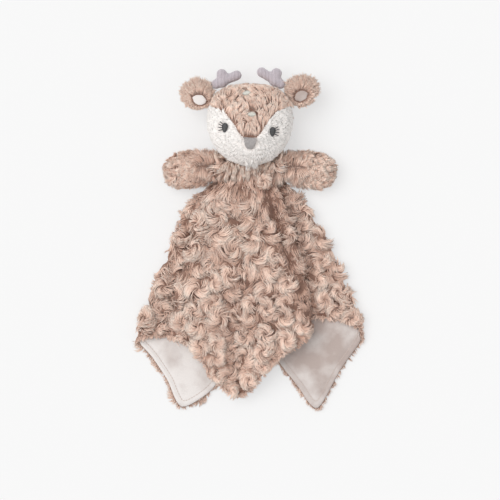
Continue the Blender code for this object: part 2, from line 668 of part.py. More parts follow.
def make_blanket():
    """Swirl plush outside, in round swells, and smooth velour inside, sewn together at the hem."""
    half = PLUSH_WALL / 2
    cloth_shell("blanket_outer", "fawn_plush", half, -half, swelling=True)
    lining = half + SEAM_GAP
    cloth_shell("blanket_lining", "lining_velour", -lining, -lining - LINING_WALL)


def make_neck():
    """The blanket's middle, bunched into a soft roll."""
    roll = neck_form("neck_blank", 0)
    combined("neck_gather", "fawn_plush", roll)
    forget(roll)


def main():
    for obj in list(bpy.data.objects):
        bpy.data.objects.remove(obj)
    make_blanket()
    make_neck()
    make_head()
    make_face()
    make_ears()
    make_antlers()
    make_arms()
    for obj in bpy.data.objects:
        obj.data.shade_smooth()
        obj.data.set_sharp_from_angle(angle=math.radians(50))


main()
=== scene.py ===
"""A fawn comfort blanket lying on its back: a stuffed fawn's head and two stuffed arms sewn to the
gathered middle of a velour-lined square of swirl plush. Seen from straight above, in soft light from
the upper left."""

import math

import bmesh
import bpy
import numpy as np
from mathutils import Matrix, Vector, noise
from mathutils.bvhtree import BVHTree
from mathutils.kdtree import KDTree


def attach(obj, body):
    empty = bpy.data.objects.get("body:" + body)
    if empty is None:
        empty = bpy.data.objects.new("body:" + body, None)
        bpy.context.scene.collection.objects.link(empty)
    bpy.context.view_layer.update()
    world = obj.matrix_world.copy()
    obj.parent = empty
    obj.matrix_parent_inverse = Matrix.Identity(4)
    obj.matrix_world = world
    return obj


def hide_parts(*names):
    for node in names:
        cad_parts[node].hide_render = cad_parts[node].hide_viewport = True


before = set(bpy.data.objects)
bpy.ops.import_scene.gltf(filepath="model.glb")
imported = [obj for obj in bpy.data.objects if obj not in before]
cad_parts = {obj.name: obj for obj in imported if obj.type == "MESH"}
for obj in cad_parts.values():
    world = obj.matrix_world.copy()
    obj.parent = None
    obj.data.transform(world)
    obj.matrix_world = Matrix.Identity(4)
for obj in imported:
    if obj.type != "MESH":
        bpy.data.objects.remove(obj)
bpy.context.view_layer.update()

# The blanket's outside is one square of swirl plush, knitted on a backing and embossed in rosettes. It is
# gathered at its middle and lies in pleats over its own back layer, so the cloth is a closed loop round the
# neck. A crevice runs beside the front's right fold, and a shallow crease down the front's middle.
MM = 0.001
SPREAD_HALF_WIDTH = 124 * MM
SKIRT_TOP_Y = 66 * MM
SKIRT_LENGTH = 251.5 * MM
NECK_OPENING_HALF_WIDTH, NECK_OPENING_DROP = 34 * MM, 4 * MM
TONGUE_RISE, TONGUE_HALF_WIDTH = 20 * MM, 22 * MM
STACK_AT_NECK, STACK_AT_HEM, STACK_PUFF = 23.5 * MM, 26 * MM, 6 * MM
FOLD_ROUND = 5 * MM
FLOOR_SHEET_Z = 1.5 * MM
FAN_SHARES = (0.49, 0.21)
CORNER_SAG_SHARE = 0.62
CORNER_SAG_DOWN_SHARES = (0.83, 0.98)
SIDE_SHARE, TUCK_SHARE = 0.34, 0.63
FLOOR_LAYER, FRONT_LAYER = 0.2, 0.9
CLOTH_RUN_SHARES = (
    (SIDE_SHARE, ((-0.945, 0.686, -0.91), (-0.74, 0.685, -0.74), (-0.51, 0.720, -0.58))),
    (TUCK_SHARE, ((-0.51, 0.720, -0.58), (-0.68, 0.682, -0.72))),
    (1.0, ((-0.68, 0.682, -0.72), (-0.57, 0.695, -0.55), (-0.45, 0.760, -0.41), (-0.33, 0.850, -0.28),
           (-0.22, 0.912, -0.17), (-0.11, 0.937, -0.08), (0.00, 0.910, 0.02), (0.11, 0.845, 0.13),
           (0.23, 0.780, 0.25), (0.37, 0.730, 0.40), (0.51, 0.668, 0.56))),
    (TUCK_SHARE, ((0.51, 0.630, 0.56), (0.27, 0.650, 0.34))),
    (SIDE_SHARE, ((0.27, 0.650, 0.34), (0.60, 0.597, 0.66), (0.925, 0.640, 0.91))),
    (0.0, ((0.97, 0.715, 0.93), (0.79, 0.840, 0.72), (0.60, 1.000, 0.50), (0.45, 0.925, 0.36),
           (0.30, 0.830, 0.24), (0.16, 0.777, 0.14), (-0.03, 0.917, 0.00), (-0.195, 0.838, -0.14),
           (-0.337, 0.920, -0.28), (-0.60, 0.995, -0.48), (-0.72, 0.888, -0.64), (-0.86, 0.782, -0.80),
           (-0.97, 0.722, -0.93))),
)
FRONT_COLUMN = 13
CLOTH_ROWS = 92
CLOTH_REFINES = 3
FACE_RISE, FACE_OFF_FLOOR = 0.4 * MM, 0.9 * MM
BACKING_FAR, BACKING_OFF_FLOOR = -2.2 * MM, 0.2 * MM
HEM_ROUND = 1.0 * MM
ROSETTE_SPACING, ROSETTE_WANDER = 22 * MM, 3.6 * MM
ROSETTE_CROWN, ROSETTE_DEEPEST = 5.2 * MM, -1.6 * MM
ROSETTE_CREASE, ROSETTE_EYE, ROSETTE_EYE_SHARE = 6.5 * MM, 3.0 * MM, 0.12
GATHER_SPACING, GATHER_DEPTH, GATHER_FADE = 12.5 * MM, 1.5 * MM, 34 * MM
CREVICE = np.array([(-112, 78), (-100, 72), (-89, 66), (-68, 60), (-39, 49), (-3, 34.5), (38, 23.5),
                    (59, 18), (70, 15)]) * MM
CREVICE_ENDS = ((-112 * MM, -92 * MM), (58 * MM, 68 * MM))
CREVICE_WIDTH, CREVICE_DEPTH = 5.0 * MM, 8 * MM
CREVICE_STEP, CREVICE_STEP_WIDTH = 3.5 * MM, 5 * MM
CREVICE_LAYER_SHARES = ((SIDE_SHARE, 0.3), (TUCK_SHARE, 0.85), (FRONT_LAYER, 1))
CREASE = np.array([(-175, -13), (-140, -19), (-106, -24), (-50, -10), (-18, -4), (0, -2)]) * MM
CREASE_ENDS = ((-175 * MM, -150 * MM), (-30 * MM, 0))
CREASE_WIDTH, CREASE_DEPTH = 3.5 * MM, 2.5 * MM
SHOULDER_Y, SHOULDER_REACH, SHOULDER_FULLNESS = 32 * MM, 30 * MM, 6 * MM
SHOULDER_FADE = (12 * MM, 45 * MM)


def new_piece(name, bm, *finishes):
    """Turns a bmesh into a smooth piece with its faces pointing out."""
    bmesh.ops.recalc_face_normals(bm, faces=bm.faces)
    mesh = bpy.data.meshes.new(name)
    bm.to_mesh(mesh)
    bm.free()
    mesh.shade_smooth()
    piece = bpy.data.objects.new(name, mesh)
    bpy.context.scene.collection.objects.link(piece)
    for finish in finishes:
        mesh.materials.append(finish)
    return piece


def new_finish(name, colour, roughness, sheen):
    """A fabric's material: its plain colour, roughness and sheen, with its node tree to add to."""
    made = bpy.data.materials.new(name)
    made.use_nodes = True
    shader = made.node_tree.nodes["Principled BSDF"]
    shader.inputs["Base Color"].default_value = (*colour, 1)
    shader.inputs["Roughness"].default_value = roughness
    shader.inputs["Specular IOR Level"].default_value = 0.2
    shader.inputs["Sheen Weight"].default_value = sheen
    shader.inputs["Sheen Roughness"].default_value = 0.6
    return made


def add_node(finish, kind, **inputs):
    """A node of this kind with its sockets set to values or joined to other sockets."""
    made = finish.node_tree.nodes.new(kind)
    for name, value in inputs.items():
        socket = made.inputs[int(name[1:])] if name[0] == "_" else made.inputs[name.replace("_", " ")]
        if isinstance(value, bpy.types.NodeSocket):
            finish.node_tree.links.new(value, socket)
        else:
            socket.default_value = value
    return made


def colour_steps(finish, factor, steps):
    """A colour ramp through these (place, colour) steps."""
    ramp = add_node(finish, "ShaderNodeValToRGB", Fac=factor)
    elements = ramp.color_ramp.elements
    while len(elements) < len(steps):
        elements.new(0.5)
    for element, (place, colour) in zip(elements, steps):
        element.position = place
        element.color = (*colour, 1)
    return ramp.outputs["Color"]


def mixed(finish, factor, first, second, blend="MIX"):
    """Two colours mixed by a factor."""
    node = finish.node_tree.nodes.new("ShaderNodeMix")
    node.data_type = "RGBA"
    node.blend_type = blend
    for socket, value in zip((node.inputs[0], node.inputs[6], node.inputs[7]), (factor, first, second)):
        if isinstance(value, bpy.types.NodeSocket):
            finish.node_tree.links.new(value, socket)
        else:
            socket.default_value = value if isinstance(value, float) else (*value, 1)
    return node.outputs[2]


def wire(finish, colour=None, height=None, strength=0.5, distance=0.0005):
    """Joins a colour to the shader, and a height to its bump."""
    tree = finish.node_tree
    shader = tree.nodes["Principled BSDF"]
    if colour is not None:
        tree.links.new(colour, shader.inputs["Base Color"])
    if height is not None:
        bump = add_node(finish, "ShaderNodeBump", Strength=strength, Distance=distance, Height=height)
        tree.links.new(bump.outputs["Normal"], shader.inputs["Normal"])


def knit_backing(name, dark, light):
    """The knitted backing that shows between the locks of pile: fine ribs and uneven dye."""
    finish = new_finish(name, light, 0.95, 0.1)
    place = add_node(finish, "ShaderNodeTexCoord").outputs["Object"]
    dye = add_node(finish, "ShaderNodeTexNoise", Vector=place, Scale=90.0, Detail=3.0)
    loops = add_node(finish, "ShaderNodeTexVoronoi", Vector=place, Scale=900.0)
    tone = colour_steps(finish, dye.outputs["Fac"], ((0.3, dark), (0.7, light)))
    wire(finish, tone, loops.outputs["Distance"], 0.6, 0.0006)
    return finish


def through(stations):
    """The stations with a smooth point added between each two, round a closed loop."""
    before, after, beyond = (np.roll(stations, shift, 0) for shift in (1, -1, -2))
    added = (9 * (stations + after) - before - beyond) / 16
    return np.stack([stations, added], 1).reshape(-1, stations.shape[1])


def cloth_stations():
    """Every station round the cloth, with a rounded fold between each run and the next."""
    stations = []
    runs = [[(x * SPREAD_HALF_WIDTH, y * SKIRT_LENGTH, neck * NECK_OPENING_HALF_WIDTH, layer)
             for x, y, neck in points] for layer, points in CLOTH_RUN_SHARES]
    for run, following in zip(runs, runs[1:] + runs[:1]):
        onward = math.copysign(FOLD_ROUND, run[-1][0] - run[0][0])
        stations += run
        stations.append(np.add(run[-1], following[0]) / 2 + (onward, 0, onward, 0))
    return np.array(stations)


def skirt_surface():
    """The cloth's middle surface in rows from neck to hem, and each column's layer."""
    stations = cloth_stations()
    for _ in range(CLOTH_REFINES):
        stations = through(stations)
    hem_x, hem_down, neck_x, layer = stations.T
    on_floor = np.clip(1 - layer / SIDE_SHARE, 0, 1)
    tongue = TONGUE_RISE * on_floor * np.clip(1 - (neck_x / TONGUE_HALF_WIDTH) ** 2, 0, 1)
    start = np.stack([neck_x, SKIRT_TOP_Y - NECK_OPENING_DROP + tongue], 1)
    end = np.stack([hem_x, SKIRT_TOP_Y - hem_down], 1)
    bend = start + (end - start) * np.array(FAN_SHARES)
    sag_from, sag_to = CORNER_SAG_DOWN_SHARES
    low = np.clip((hem_down / SKIRT_LENGTH - sag_from) / (sag_to - sag_from), 0, 1)
    hem_layer = layer * (1 - CORNER_SAG_SHARE * low * (layer > TUCK_SHARE))
    rows = []
    for t in np.linspace(0, 1, CLOTH_ROWS):
        plan = (1 - t) ** 2 * start + 2 * t * (1 - t) * bend + t * t * end
        stack = STACK_AT_NECK + (STACK_AT_HEM - STACK_AT_NECK) * t + STACK_PUFF * math.sin(math.pi * t)
        height = stack * np.maximum(layer + (hem_layer - layer) * t ** 4, 0)
        rows.append(np.column_stack([plan, FLOOR_SHEET_Z + height]))
    return np.array(rows), layer


def unit(vectors):
    """The same vectors with a length of one."""
    return vectors / np.maximum(np.linalg.norm(vectors, axis=-1, keepdims=True), 1e-12)


def smooth_share(values, low, high):
    """0 below low, 1 above high, and a smooth rise between."""
    share = np.clip((values - low) / (high - low), 0, 1)
    return share * share * (3 - 2 * share)


def beside(points, line):
    """How far each point is to the right of a line that runs up the blanket, given as (y, x) places."""
    return points[..., 0] - np.interp(points[..., 1], line[:, 0], line[:, 1])


def between_ends(points, ends):
    """1 along the length of a line up the blanket, fading to 0 over its lower and its upper end."""
    lower, upper = ends
    return smooth_share(points[..., 1], *lower) * (1 - smooth_share(points[..., 1], *upper))


def crevice_share(points):
    """How deep in the crevice each point is: 0 outside it and 1 in its middle."""
    return np.exp(-(beside(points, CREVICE) / CREVICE_WIDTH) ** 2) * between_ends(points, CREVICE_ENDS)


def crease_share(points):
    """The same for the shallow crease down the front's middle."""
    return np.exp(-(beside(points, CREASE) / CREASE_WIDTH) ** 2) * between_ends(points, CREASE_ENDS)


surface, cloth_layer = skirt_surface()
onward_step = unit(np.roll(surface, -1, 1) - surface)
cloth_across = unit(onward_step + np.roll(onward_step, 1, 1))
cloth_down = unit(np.gradient(surface, axis=0))
cloth_out = unit(np.cross(cloth_down, cloth_across))

# The crevice and the crease draw the front down, with part of what lies under it. The left shoulder is full.
lowered = CREVICE_DEPTH * crevice_share(surface)
lowered += CREVICE_STEP * smooth_share(beside(surface, CREVICE), 0, CREVICE_STEP_WIDTH)
lowered += CREASE_DEPTH * crease_share(surface)
follows = np.interp(cloth_layer, *zip(*CREVICE_LAYER_SHARES)) * (cloth_layer > FLOOR_LAYER)
surface[..., 2] -= lowered * follows
fuller = np.exp(-((surface[..., 1] - SHOULDER_Y) / SHOULDER_REACH) ** 2)
surface[..., 0] -= SHOULDER_FULLNESS * (fuller * smooth_share(-surface[..., 0], *SHOULDER_FADE))

# The plush's own flat measure: how far across from the front's middle, and how far down from the neck.
step_lengths = np.linalg.norm(np.roll(surface, -1, 1) - surface, axis=2)
walked = np.cumsum(step_lengths, 1) - step_lengths
loop_length = step_lengths.sum(1, keepdims=True)
front_column = FRONT_COLUMN * 2 ** CLOTH_REFINES
flat_across = walked - walked[:, front_column:front_column + 1]
flat_across = (flat_across + loop_length / 2) % loop_length - loop_length / 2
row_lengths = np.linalg.norm(np.diff(surface, axis=0), axis=2)
flat_down = np.vstack([np.zeros(len(cloth_layer)), np.cumsum(row_lengths, 0)])
flat_place = np.stack([flat_across, flat_down], 2)


def rosette_centres(reach, spacing, wander, seed):
    """The rosettes' middles in plan: staggered rows over the whole cloth, each a little off its place."""
    most = math.ceil(reach / spacing) * 2
    steps = np.arange(-most, most + 1)
    column, row = (values.ravel() for values in np.meshgrid(steps, steps))
    staggered = (column + row) % 2 == 0
    middles = np.stack([column * spacing * math.sqrt(3) / 2, row * spacing / 2], 1)[staggered]
    off_place = np.random.default_rng(seed).normal(0, wander, middles.shape)
    return middles + off_place.clip(-1.5 * wander, 1.5 * wander)


def nearest_two(places, centres):
    """The nearest centre of each place, and the distances to it and to the next."""
    nearest = np.empty(len(places), int)
    first, second = np.empty(len(places)), np.empty(len(places))
    for start in range(0, len(places), 8000):
        part = slice(start, start + 8000)
        gaps = np.linalg.norm(places[part, None] - centres[None], axis=2)
        order = np.argpartition(gaps, 1, axis=1)[:, :2]
        two = np.take_along_axis(gaps, order, 1)
        nearest[part] = np.where(two[:, 0] <= two[:, 1], order[:, 0], order[:, 1])
        first[part], second[part] = two.min(1), two.max(1)
    return nearest, first, second


centres = rosette_centres(SKIRT_LENGTH, ROSETTE_SPACING, ROSETTE_WANDER, 3)
_, to_centre, to_next = nearest_two(surface[..., :2].reshape(-1, 2), centres)
crown = smooth_share((to_next - to_centre) / 2, 0, ROSETTE_CREASE)
crown -= ROSETTE_EYE_SHARE * np.exp(-(to_centre / ROSETTE_EYE) ** 2)
relief = np.maximum((crown.reshape(surface.shape[:2]) - 0.5) * ROSETTE_CROWN, ROSETTE_DEEPEST)
near_neck = np.exp(-flat_down / GATHER_FADE)
gathers = GATHER_DEPTH * near_neck * np.cos(flat_across / GATHER_SPACING * 2 * math.pi)
relief = relief * (1 - near_neck) + gathers
plush_top = surface + cloth_out * (FACE_RISE + relief)[..., None]
plush_top[..., 2] = np.maximum(plush_top[..., 2], FACE_OFF_FLOOR)


def cloth_shell(name, finish, near, far, rim):
    """A closed wall of cloth between two surfaces, turned over at the hem."""
    edge = (near[-1:] + far[-1:]) / 2 + cloth_down[-1:] * rim
    wall = np.concatenate([near, edge, far[::-1], near[:1]])
    wall = np.concatenate([wall, wall[:, :1]], 1)
    rows, columns = wall.shape[:2]
    bm = bmesh.new()
    bmesh.ops.create_grid(bm, x_segments=columns - 1, y_segments=rows - 1, size=1)
    for vert in bm.verts:
        row, column = (vert.co.y + 1) / 2 * (rows - 1), (vert.co.x + 1) / 2 * (columns - 1)
        vert.co = wall[round(row), round(column)]
    bmesh.ops.remove_doubles(bm, verts=bm.verts, dist=1e-7)
    return new_piece(name, bm, finish)


# Painted shade: the fawn backing is coloured darker than a plush backing's own brown, so the crevice, where
# it shows between short locks, looks shaded.
painted_shade_fawn_backing = knit_backing("fawn_knit_backing_painted_shade", (0.22, 0.12, 0.088), (0.34, 0.205, 0.155))
plush_under = surface + cloth_out * BACKING_FAR
plush_under[..., 2] = np.maximum(plush_under[..., 2], BACKING_OFF_FLOOR)
blanket_plush = cloth_shell("blanket_plush_cloth", painted_shade_fawn_backing, plush_top, plush_under, HEM_ROUND)
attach(blanket_plush, "blanket")
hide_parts("blanket_outer")

# The plush's pile: locks of soft fibre that stand out of the backing and lie round each rosette in a swirl.
# Near the neck they hang straight down from the gathers, and at the hem they reach past the edge. They are
# short in the crevice and where one layer comes out from under another, and painted darker there as shade.
LOCKS_ON_BLANKET, HEM_LOCKS = 55500, 2400
LOCK_LENGTH, LOCK_WIDTH = 14 * MM, 1.45 * MM
LOCK_CUTS, LOCK_FLATNESS, LOCK_SINK = (0.42, 0.76), 0.55, 0.5 * MM
LEADERS_SHARE, TUFT_PULL, TIGHTEST_CURL = 0.02, 0.18, 6 * MM
PILE_LAYERS = ((0.0, 0.4), (0.2, 0.8), (0.34, 0.9), (0.46, 0.2), (0.85, 0.3), (0.97, 1.0), (1.0, 1.0))
HEM_ROWS, HEM_MORE = 10, 1.7
MIDDLE_REACH, MIDDLE_MORE = 5 * MM, 0.9
TOP_TURN, TOP_TURN_SHARE = 5 * MM, 0.55
RIGHT_FOLD_SHADE, LEFT_FOLD_SHADE = 0.6, 0.75
FOLD_SHADE_START, FOLD_SHADE_FULL, FOLD_SHADE_FADE = -8 * MM, 3 * MM, 7 * MM
HEM_FADE = (2 * MM, 14 * MM)
PARTING_REACH, PARTING_SHARE = 10 * MM, 0.8
LEFT_FADE, LEFT_PAINTED_LIGHT = (25 * MM, 55 * MM), 0.14
HEM_LOCK_LENGTHS, HEM_LOCK_WIDTHS = (4.5 * MM, 8 * MM), (0.8 * MM, 1.2 * MM)
HEM_LOCK_DEPTHS, HEM_LOCK_SINK = (-1.6 * MM, 1.4 * MM), 1.0 * MM
MOST_LOCKS = 9000
FLOOR_CLEAR = 0.2 * MM
# The roots' colours are darker than the tips' as painted shade deep in the pile.
FAWN_ROOT_PAINTED_SHADE, FAWN_MIDDLE, FAWN_TIP = (0.28, 0.145, 0.10), (0.62, 0.385, 0.29), (0.86, 0.595, 0.475)
FAWN_PALE_ROOT_PAINTED_SHADE, FAWN_PALE_MIDDLE = (0.68, 0.44, 0.335), (0.98, 0.735, 0.61)
FAWN_PALE_TIP = (0.998, 0.90, 0.80)


def pile_finish(name, sheen, dark, pale):
    """Pile darker at its roots, as painted shade deep in the pile. Each lock's tone lies between a dark
    and a pale run of colours.
    """
    finish = new_finish(name, dark[-1][1], 0.85, sheen)
    strand = finish.node_tree.nodes.new("ShaderNodeUVMap")
    strand.uv_map = "OFBake"
    parts = add_node(finish, "ShaderNodeSeparateXYZ", Vector=strand.outputs["UV"])
    runs = [colour_steps(finish, parts.outputs["Y"], steps) for steps in (dark, pale)]
    wire(finish, mixed(finish, parts.outputs["X"], *runs))
    return finish


def lock_form():
    """One lock of pile: a closed three-sided cone, cut across so that it can bend."""
    bm = bmesh.new()
    bmesh.ops.create_cone(bm, cap_ends=True, segments=3, radius1=1, radius2=0, depth=1,
                          matrix=Matrix.Translation((0, 0, 0.5)))
    bmesh.ops.remove_doubles(bm, verts=bm.verts, dist=1e-5)
    for height in LOCK_CUTS:
        bmesh.ops.bisect_plane(bm, geom=[*bm.verts, *bm.edges, *bm.faces],
                               plane_co=(0, 0, height), plane_no=(0, 0, 1))
    bmesh.ops.triangulate(bm, faces=bm.faces)
    bmesh.ops.recalc_face_normals(bm, faces=bm.faces)
    corners = np.array([vert.co for vert in bm.verts])
    faces = np.array([[vert.index for vert in face.verts] for face in bm.faces])
    bm.free()
    return corners, faces


def leaders_of(roots, share, seed):
    """Which lock each lock gathers to, so that the pile lies in tufts."""
    rng = np.random.default_rng(seed)
    chosen = rng.choice(len(roots), max(1, int(len(roots) * share)), replace=False)
    tree = KDTree(len(chosen))
    for place, index in enumerate(chosen):
        tree.insert(roots[index], int(index))
    tree.balance()
    return np.array([tree.find(root)[1] for root in roots])


def flat_on(out, way):
    """The part of a way that lies flat on the surface that out stands on."""
    return way - out * (way * out).sum(1, keepdims=True)


def lay_pile(name, finish, body, roots, out, lie, length, width, lift, curl, tone, leader, pull=0.5):
    """Sets a lock on every root. It starts out of the cloth, bends over to lie along its own direction,
    turns by its curl, and its tip is drawn to its leader's. Tones run from 0, dark, to 1, pale."""
    corners, faces = lock_form()
    heights, ring = np.unique(np.round(corners[:, 2], 4), return_inverse=True)
    taper = 1 - corners[:, 2:]
    section = np.zeros((len(corners), 2))
    np.divide(corners[:, :2], taper, out=section, where=taper > 1e-3)
    lie = unit(flat_on(out, lie))
    aside = np.cross(out, lie)
    axis, ways, below = [roots], [], 0.0
    for height in heights[1:]:
        middle = (height + below) / 2
        turn = (curl * middle)[:, None]
        rise = (lift * (1.25 - middle) ** 2)[:, None]
        way = unit(lie * np.cos(turn) + aside * np.sin(turn) + out * rise)
        axis.append(axis[-1] + way * (length * (height - below))[:, None])
        ways.append(way)
        below = height
    axis, ways = np.array(axis), np.array([ways[0], *ways])
    share = (pull * heights ** 1.5)[:, None, None]
    axis = axis + (axis[:, leader] - roots[leader] - axis + roots) * share * 0.6
    axis = axis + (axis[:, leader] - axis) * share * 0.5
    axis[..., 2] = np.maximum(axis[..., 2], FLOOR_CLEAR + width / 2)
    flank = unit(np.cross(ways, out[None]))
    top = np.cross(flank, ways)
    plump = (1 - heights ** 2.2) ** 0.6
    half = (plump[ring, None] * width[None, :] / 2)[..., None]
    wide, tall = section.T[..., None, None]
    points = axis[ring] + (flank[ring] * wide + top[ring] * tall * LOCK_FLATNESS) * half
    points = points.transpose(1, 0, 2)
    across = np.clip(tone[:, None] * 0.94 + 0.03 + section[None, :, 0] * 0.02, 0, 1)
    along = np.broadcast_to(0.03 + 0.93 * corners[:, 2] + 0.02 * section[:, 1], across.shape)
    made = []
    parts = math.ceil(len(roots) / MOST_LOCKS)
    for number, part in enumerate(np.array_split(np.argsort(roots[:, 1], kind="stable"), parts), 1):
        mesh = bpy.data.meshes.new(name)
        mesh.vertices.add(len(part) * len(corners))
        mesh.vertices.foreach_set("co", points[part].astype(np.float32).ravel())
        corner_of_loop = (faces[None] + (np.arange(len(part)) * len(corners))[:, None, None]).ravel()
        mesh.loops.add(len(corner_of_loop))
        mesh.loops.foreach_set("vertex_index", corner_of_loop.astype(np.int32))
        mesh.polygons.add(len(part) * len(faces))
        mesh.polygons.foreach_set("loop_start", np.arange(0, len(corner_of_loop), 3, dtype=np.int32))
        places = np.stack([across[part].ravel(), along[part].ravel()], 1)[corner_of_loop]
        mesh.uv_layers.new(name="OFBake").data.foreach_set("uv", places.astype(np.float32).ravel())
        mesh.update(calc_edges=True)
        mesh.validate()
        mesh.shade_smooth()
        mesh.materials.append(finish)
        piece = bpy.data.objects.new(name if parts == 1 else f"{name}_{number}", mesh)
        bpy.context.scene.collection.objects.link(piece)
        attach(piece, body)
        made.append(piece)
    return made


def on_cloth(values, row, column, down_share, across_share):
    """Values of the cloth's grid read between its points."""
    after = (column + 1) % values.shape[1]
    shape = (-1, *[1] * (values.ndim - 2))
    down_share, across_share = down_share.reshape(shape), across_share.reshape(shape)
    upper = values[row, column] * (1 - across_share) + values[row, after] * across_share
    lower = values[row + 1, column] * (1 - across_share) + values[row + 1, after] * across_share
    return upper * (1 - down_share) + lower * down_share


def rosette_lie(places, rng, pitch_spread):
    """Which way in plan the pile lies round its rosette, with the swirl's sense, the place's reach from the
    rosette's middle, and how far it is in the crease between two."""
    nearest, first, second = nearest_two(places[:, :2], centres)
    away = unit(places[:, :2] - centres[nearest])
    around = np.stack([-away[:, 1], away[:, 0]], 1)
    own = np.random.default_rng(11).normal(0, 1, (len(centres), 2))
    pitch = 0.26 + 0.22 * own[nearest, 0].clip(-1.5, 2) + rng.normal(0, pitch_spread, len(places))
    sense = np.where(own[nearest, 1] > -0.5, 1.0, -1.0)[:, None]
    crease = 1 - smooth_share((second - first) / 2, 0, ROSETTE_CREASE)
    plan = around * sense * np.cos(pitch)[:, None] + away * np.sin(pitch)[:, None]
    return np.column_stack([plan, np.zeros(len(plan))]), sense[:, 0], first, crease


rng = np.random.default_rng(5)
cell_area = (step_lengths[:-1] + step_lengths[1:]) / 2 * (row_lengths + np.roll(row_lengths, -1, 1)) / 2
chance = cell_area * np.interp(cloth_layer, *zip(*PILE_LAYERS))[None]
chance[-HEM_ROWS:] *= HEM_MORE
chance *= 1 + MIDDLE_MORE * np.exp(-(to_centre.reshape(surface.shape[:2])[:-1] / MIDDLE_REACH) ** 2)
cells = rng.choice(chance.size, LOCKS_ON_BLANKET, p=(chance / chance.sum()).ravel())
row, column = np.unravel_index(cells, chance.shape)
shares = rng.random((2, LOCKS_ON_BLANKET))
roots, out, down, across, places = (on_cloth(values, row, column, *shares) for values in
                                    (plush_top, cloth_out, cloth_down, cloth_across, flat_place))
layer_here = cloth_layer[column]
top_here = smooth_share(layer_here, TUCK_SHARE, 1)
leader = leaders_of(roots, LEADERS_SHARE, 6)

# Which way the locks lie: round the rosette, down from the gathers, out over the hem and off the crevice.
swirl, sense, first, crease = rosette_lie(roots, rng, 0.1)
swirl = unit(swirl[leader] * 0.5 + swirl * 0.5)
in_eye = np.exp(-(first / ROSETTE_EYE) ** 2)[:, None]
swirl = unit(swirl + rng.normal(0, 1, swirl.shape) * (0.7, 0.7, 0) * in_eye)
fall = np.exp(-places[:, 1] / GATHER_FADE)[:, None]
lie = (swirl + down * 0.12) * (1 - fall) + (down + across * rng.normal(0, 0.2, (len(roots), 1))) * fall
near_top = 1 - smooth_share(places[:, 1], TOP_TURN, 3 * TOP_TURN)
lie *= np.where(rng.random(len(roots)) < TOP_TURN_SHARE * near_top, -1, 1)[:, None]
at_hem = 1 - smooth_share(flat_down[-1, column] - places[:, 1], *HEM_FADE)
lie += down * (1.1 * at_hem * rng.random(len(roots)))[:, None]
off_line = beside(roots, CREVICE)
parted = PARTING_SHARE * np.exp(-(off_line / PARTING_REACH) ** 4)
parted *= between_ends(roots, CREVICE_ENDS) * top_here
lie[:, 0] = lie[:, 0] * (1 - parted) + np.abs(lie[:, 0]) * np.sign(off_line) * parted

# Where they are short and painted dark as shade: in the crevice and the crease, and beside the front's two
# folds.
short_and_painted_shade = np.maximum(crevice_share(roots) ** 0.4, 0.6 * crease_share(roots)) * top_here
front = np.flatnonzero(cloth_layer > FRONT_LAYER)
hem_x = surface[-1, front, 0]
for fold, shade in ((front[hem_x.argmax()], RIGHT_FOLD_SHADE), (front[hem_x.argmin()], LEFT_FOLD_SHADE)):
    edge = surface[::-1, fold]
    past = (roots[:, 0] - np.interp(roots[:, 1], edge[:, 1], edge[:, 0])) * math.copysign(1, edge[0, 0])
    under = (np.abs(layer_here - SIDE_SHARE) < 0.1) & (past > FOLD_SHADE_START)
    faded = np.exp(-(np.maximum(past - FOLD_SHADE_FULL, 0) / FOLD_SHADE_FADE) ** 2)
    short_and_painted_shade = np.maximum(short_and_painted_shade, shade * under * faded)
at_side = 1 - smooth_share(out[:, 2], 0.15, 0.7)
tuft = rng.normal(0, 1, (4, len(roots)))[:, leader]
length = LOCK_LENGTH * (1 + 0.16 * tuft[0] + 0.08 * rng.normal(0, 1, len(roots)))
length *= 1 - 0.58 * short_and_painted_shade
length *= 1 - 0.15 * crease
length *= (1 - np.where(roots[:, 0] > 0, 0.45, 0.05) * at_side) * (1 - 0.28 * at_hem)
width = LOCK_WIDTH * rng.uniform(0.7, 1.15, len(roots))
lift = np.clip(0.38 + 0.12 * tuft[1] + 0.04 * rng.normal(0, 1, len(roots)) - 0.1 * crease, 0.12, 1.2)
curl = 0.85 * sense * np.clip(length / np.maximum(first, TIGHTEST_CURL), 0, 1.7) * (1 - fall[:, 0])
curl += 0.15 * tuft[2]
# Painted shade: locks in the rosettes' creases, in the crevice and the crease and beside the folds get darker
# tones.
tone = 0.84 + 0.2 * tuft[3] + 0.1 * rng.normal(0, 1, len(roots)) - 0.7 * crease - 1.1 * short_and_painted_shade
# Painted light: locks towards the blanket's left, the side the light comes from, get paler tones.
tone += LEFT_PAINTED_LIGHT * smooth_share(-roots[:, 0], *LEFT_FADE)
tone = np.clip(tone, 0, 1)
fawn_pile = pile_finish("fawn_pile", 0.3,
                        ((0.0, FAWN_ROOT_PAINTED_SHADE), (0.5, FAWN_MIDDLE), (1.0, FAWN_TIP)),
                        ((0.0, FAWN_PALE_ROOT_PAINTED_SHADE), (0.5, FAWN_PALE_MIDDLE), (1.0, FAWN_PALE_TIP)))
blanket_pile = lay_pile("blanket_pile", fawn_pile, "blanket", roots - out * LOCK_SINK, out, lie, length,
                        width, lift, curl, tone, leader, pull=TUFT_PULL)

column = rng.integers(0, surface.shape[1], HEM_LOCKS)
down_here, out_here, across_here = (values[-1, column] for values in (cloth_down, cloth_out, cloth_across))
depth = rng.uniform(*HEM_LOCK_DEPTHS, HEM_LOCKS)[:, None]
roots = surface[-1, column] + out_here * depth - down_here * HEM_LOCK_SINK
out = unit(out_here + down_here * 0.6)
leader = leaders_of(roots, 0.2, 8)
aside = rng.normal(0, 0.5, HEM_LOCKS) + 0.5 * rng.normal(0, 1, HEM_LOCKS)[leader]
lie = down_here + across_here * aside[:, None]
hem_pile = lay_pile("blanket_hem_pile", fawn_pile, "blanket", roots, out, lie,
                    rng.uniform(*HEM_LOCK_LENGTHS, HEM_LOCKS), rng.uniform(*HEM_LOCK_WIDTHS, HEM_LOCKS),
                    rng.uniform(0.1, 0.5, HEM_LOCKS), rng.normal(0, 0.4, HEM_LOCKS),
                    rng.uniform(0.2, 0.8, HEM_LOCKS), leader)
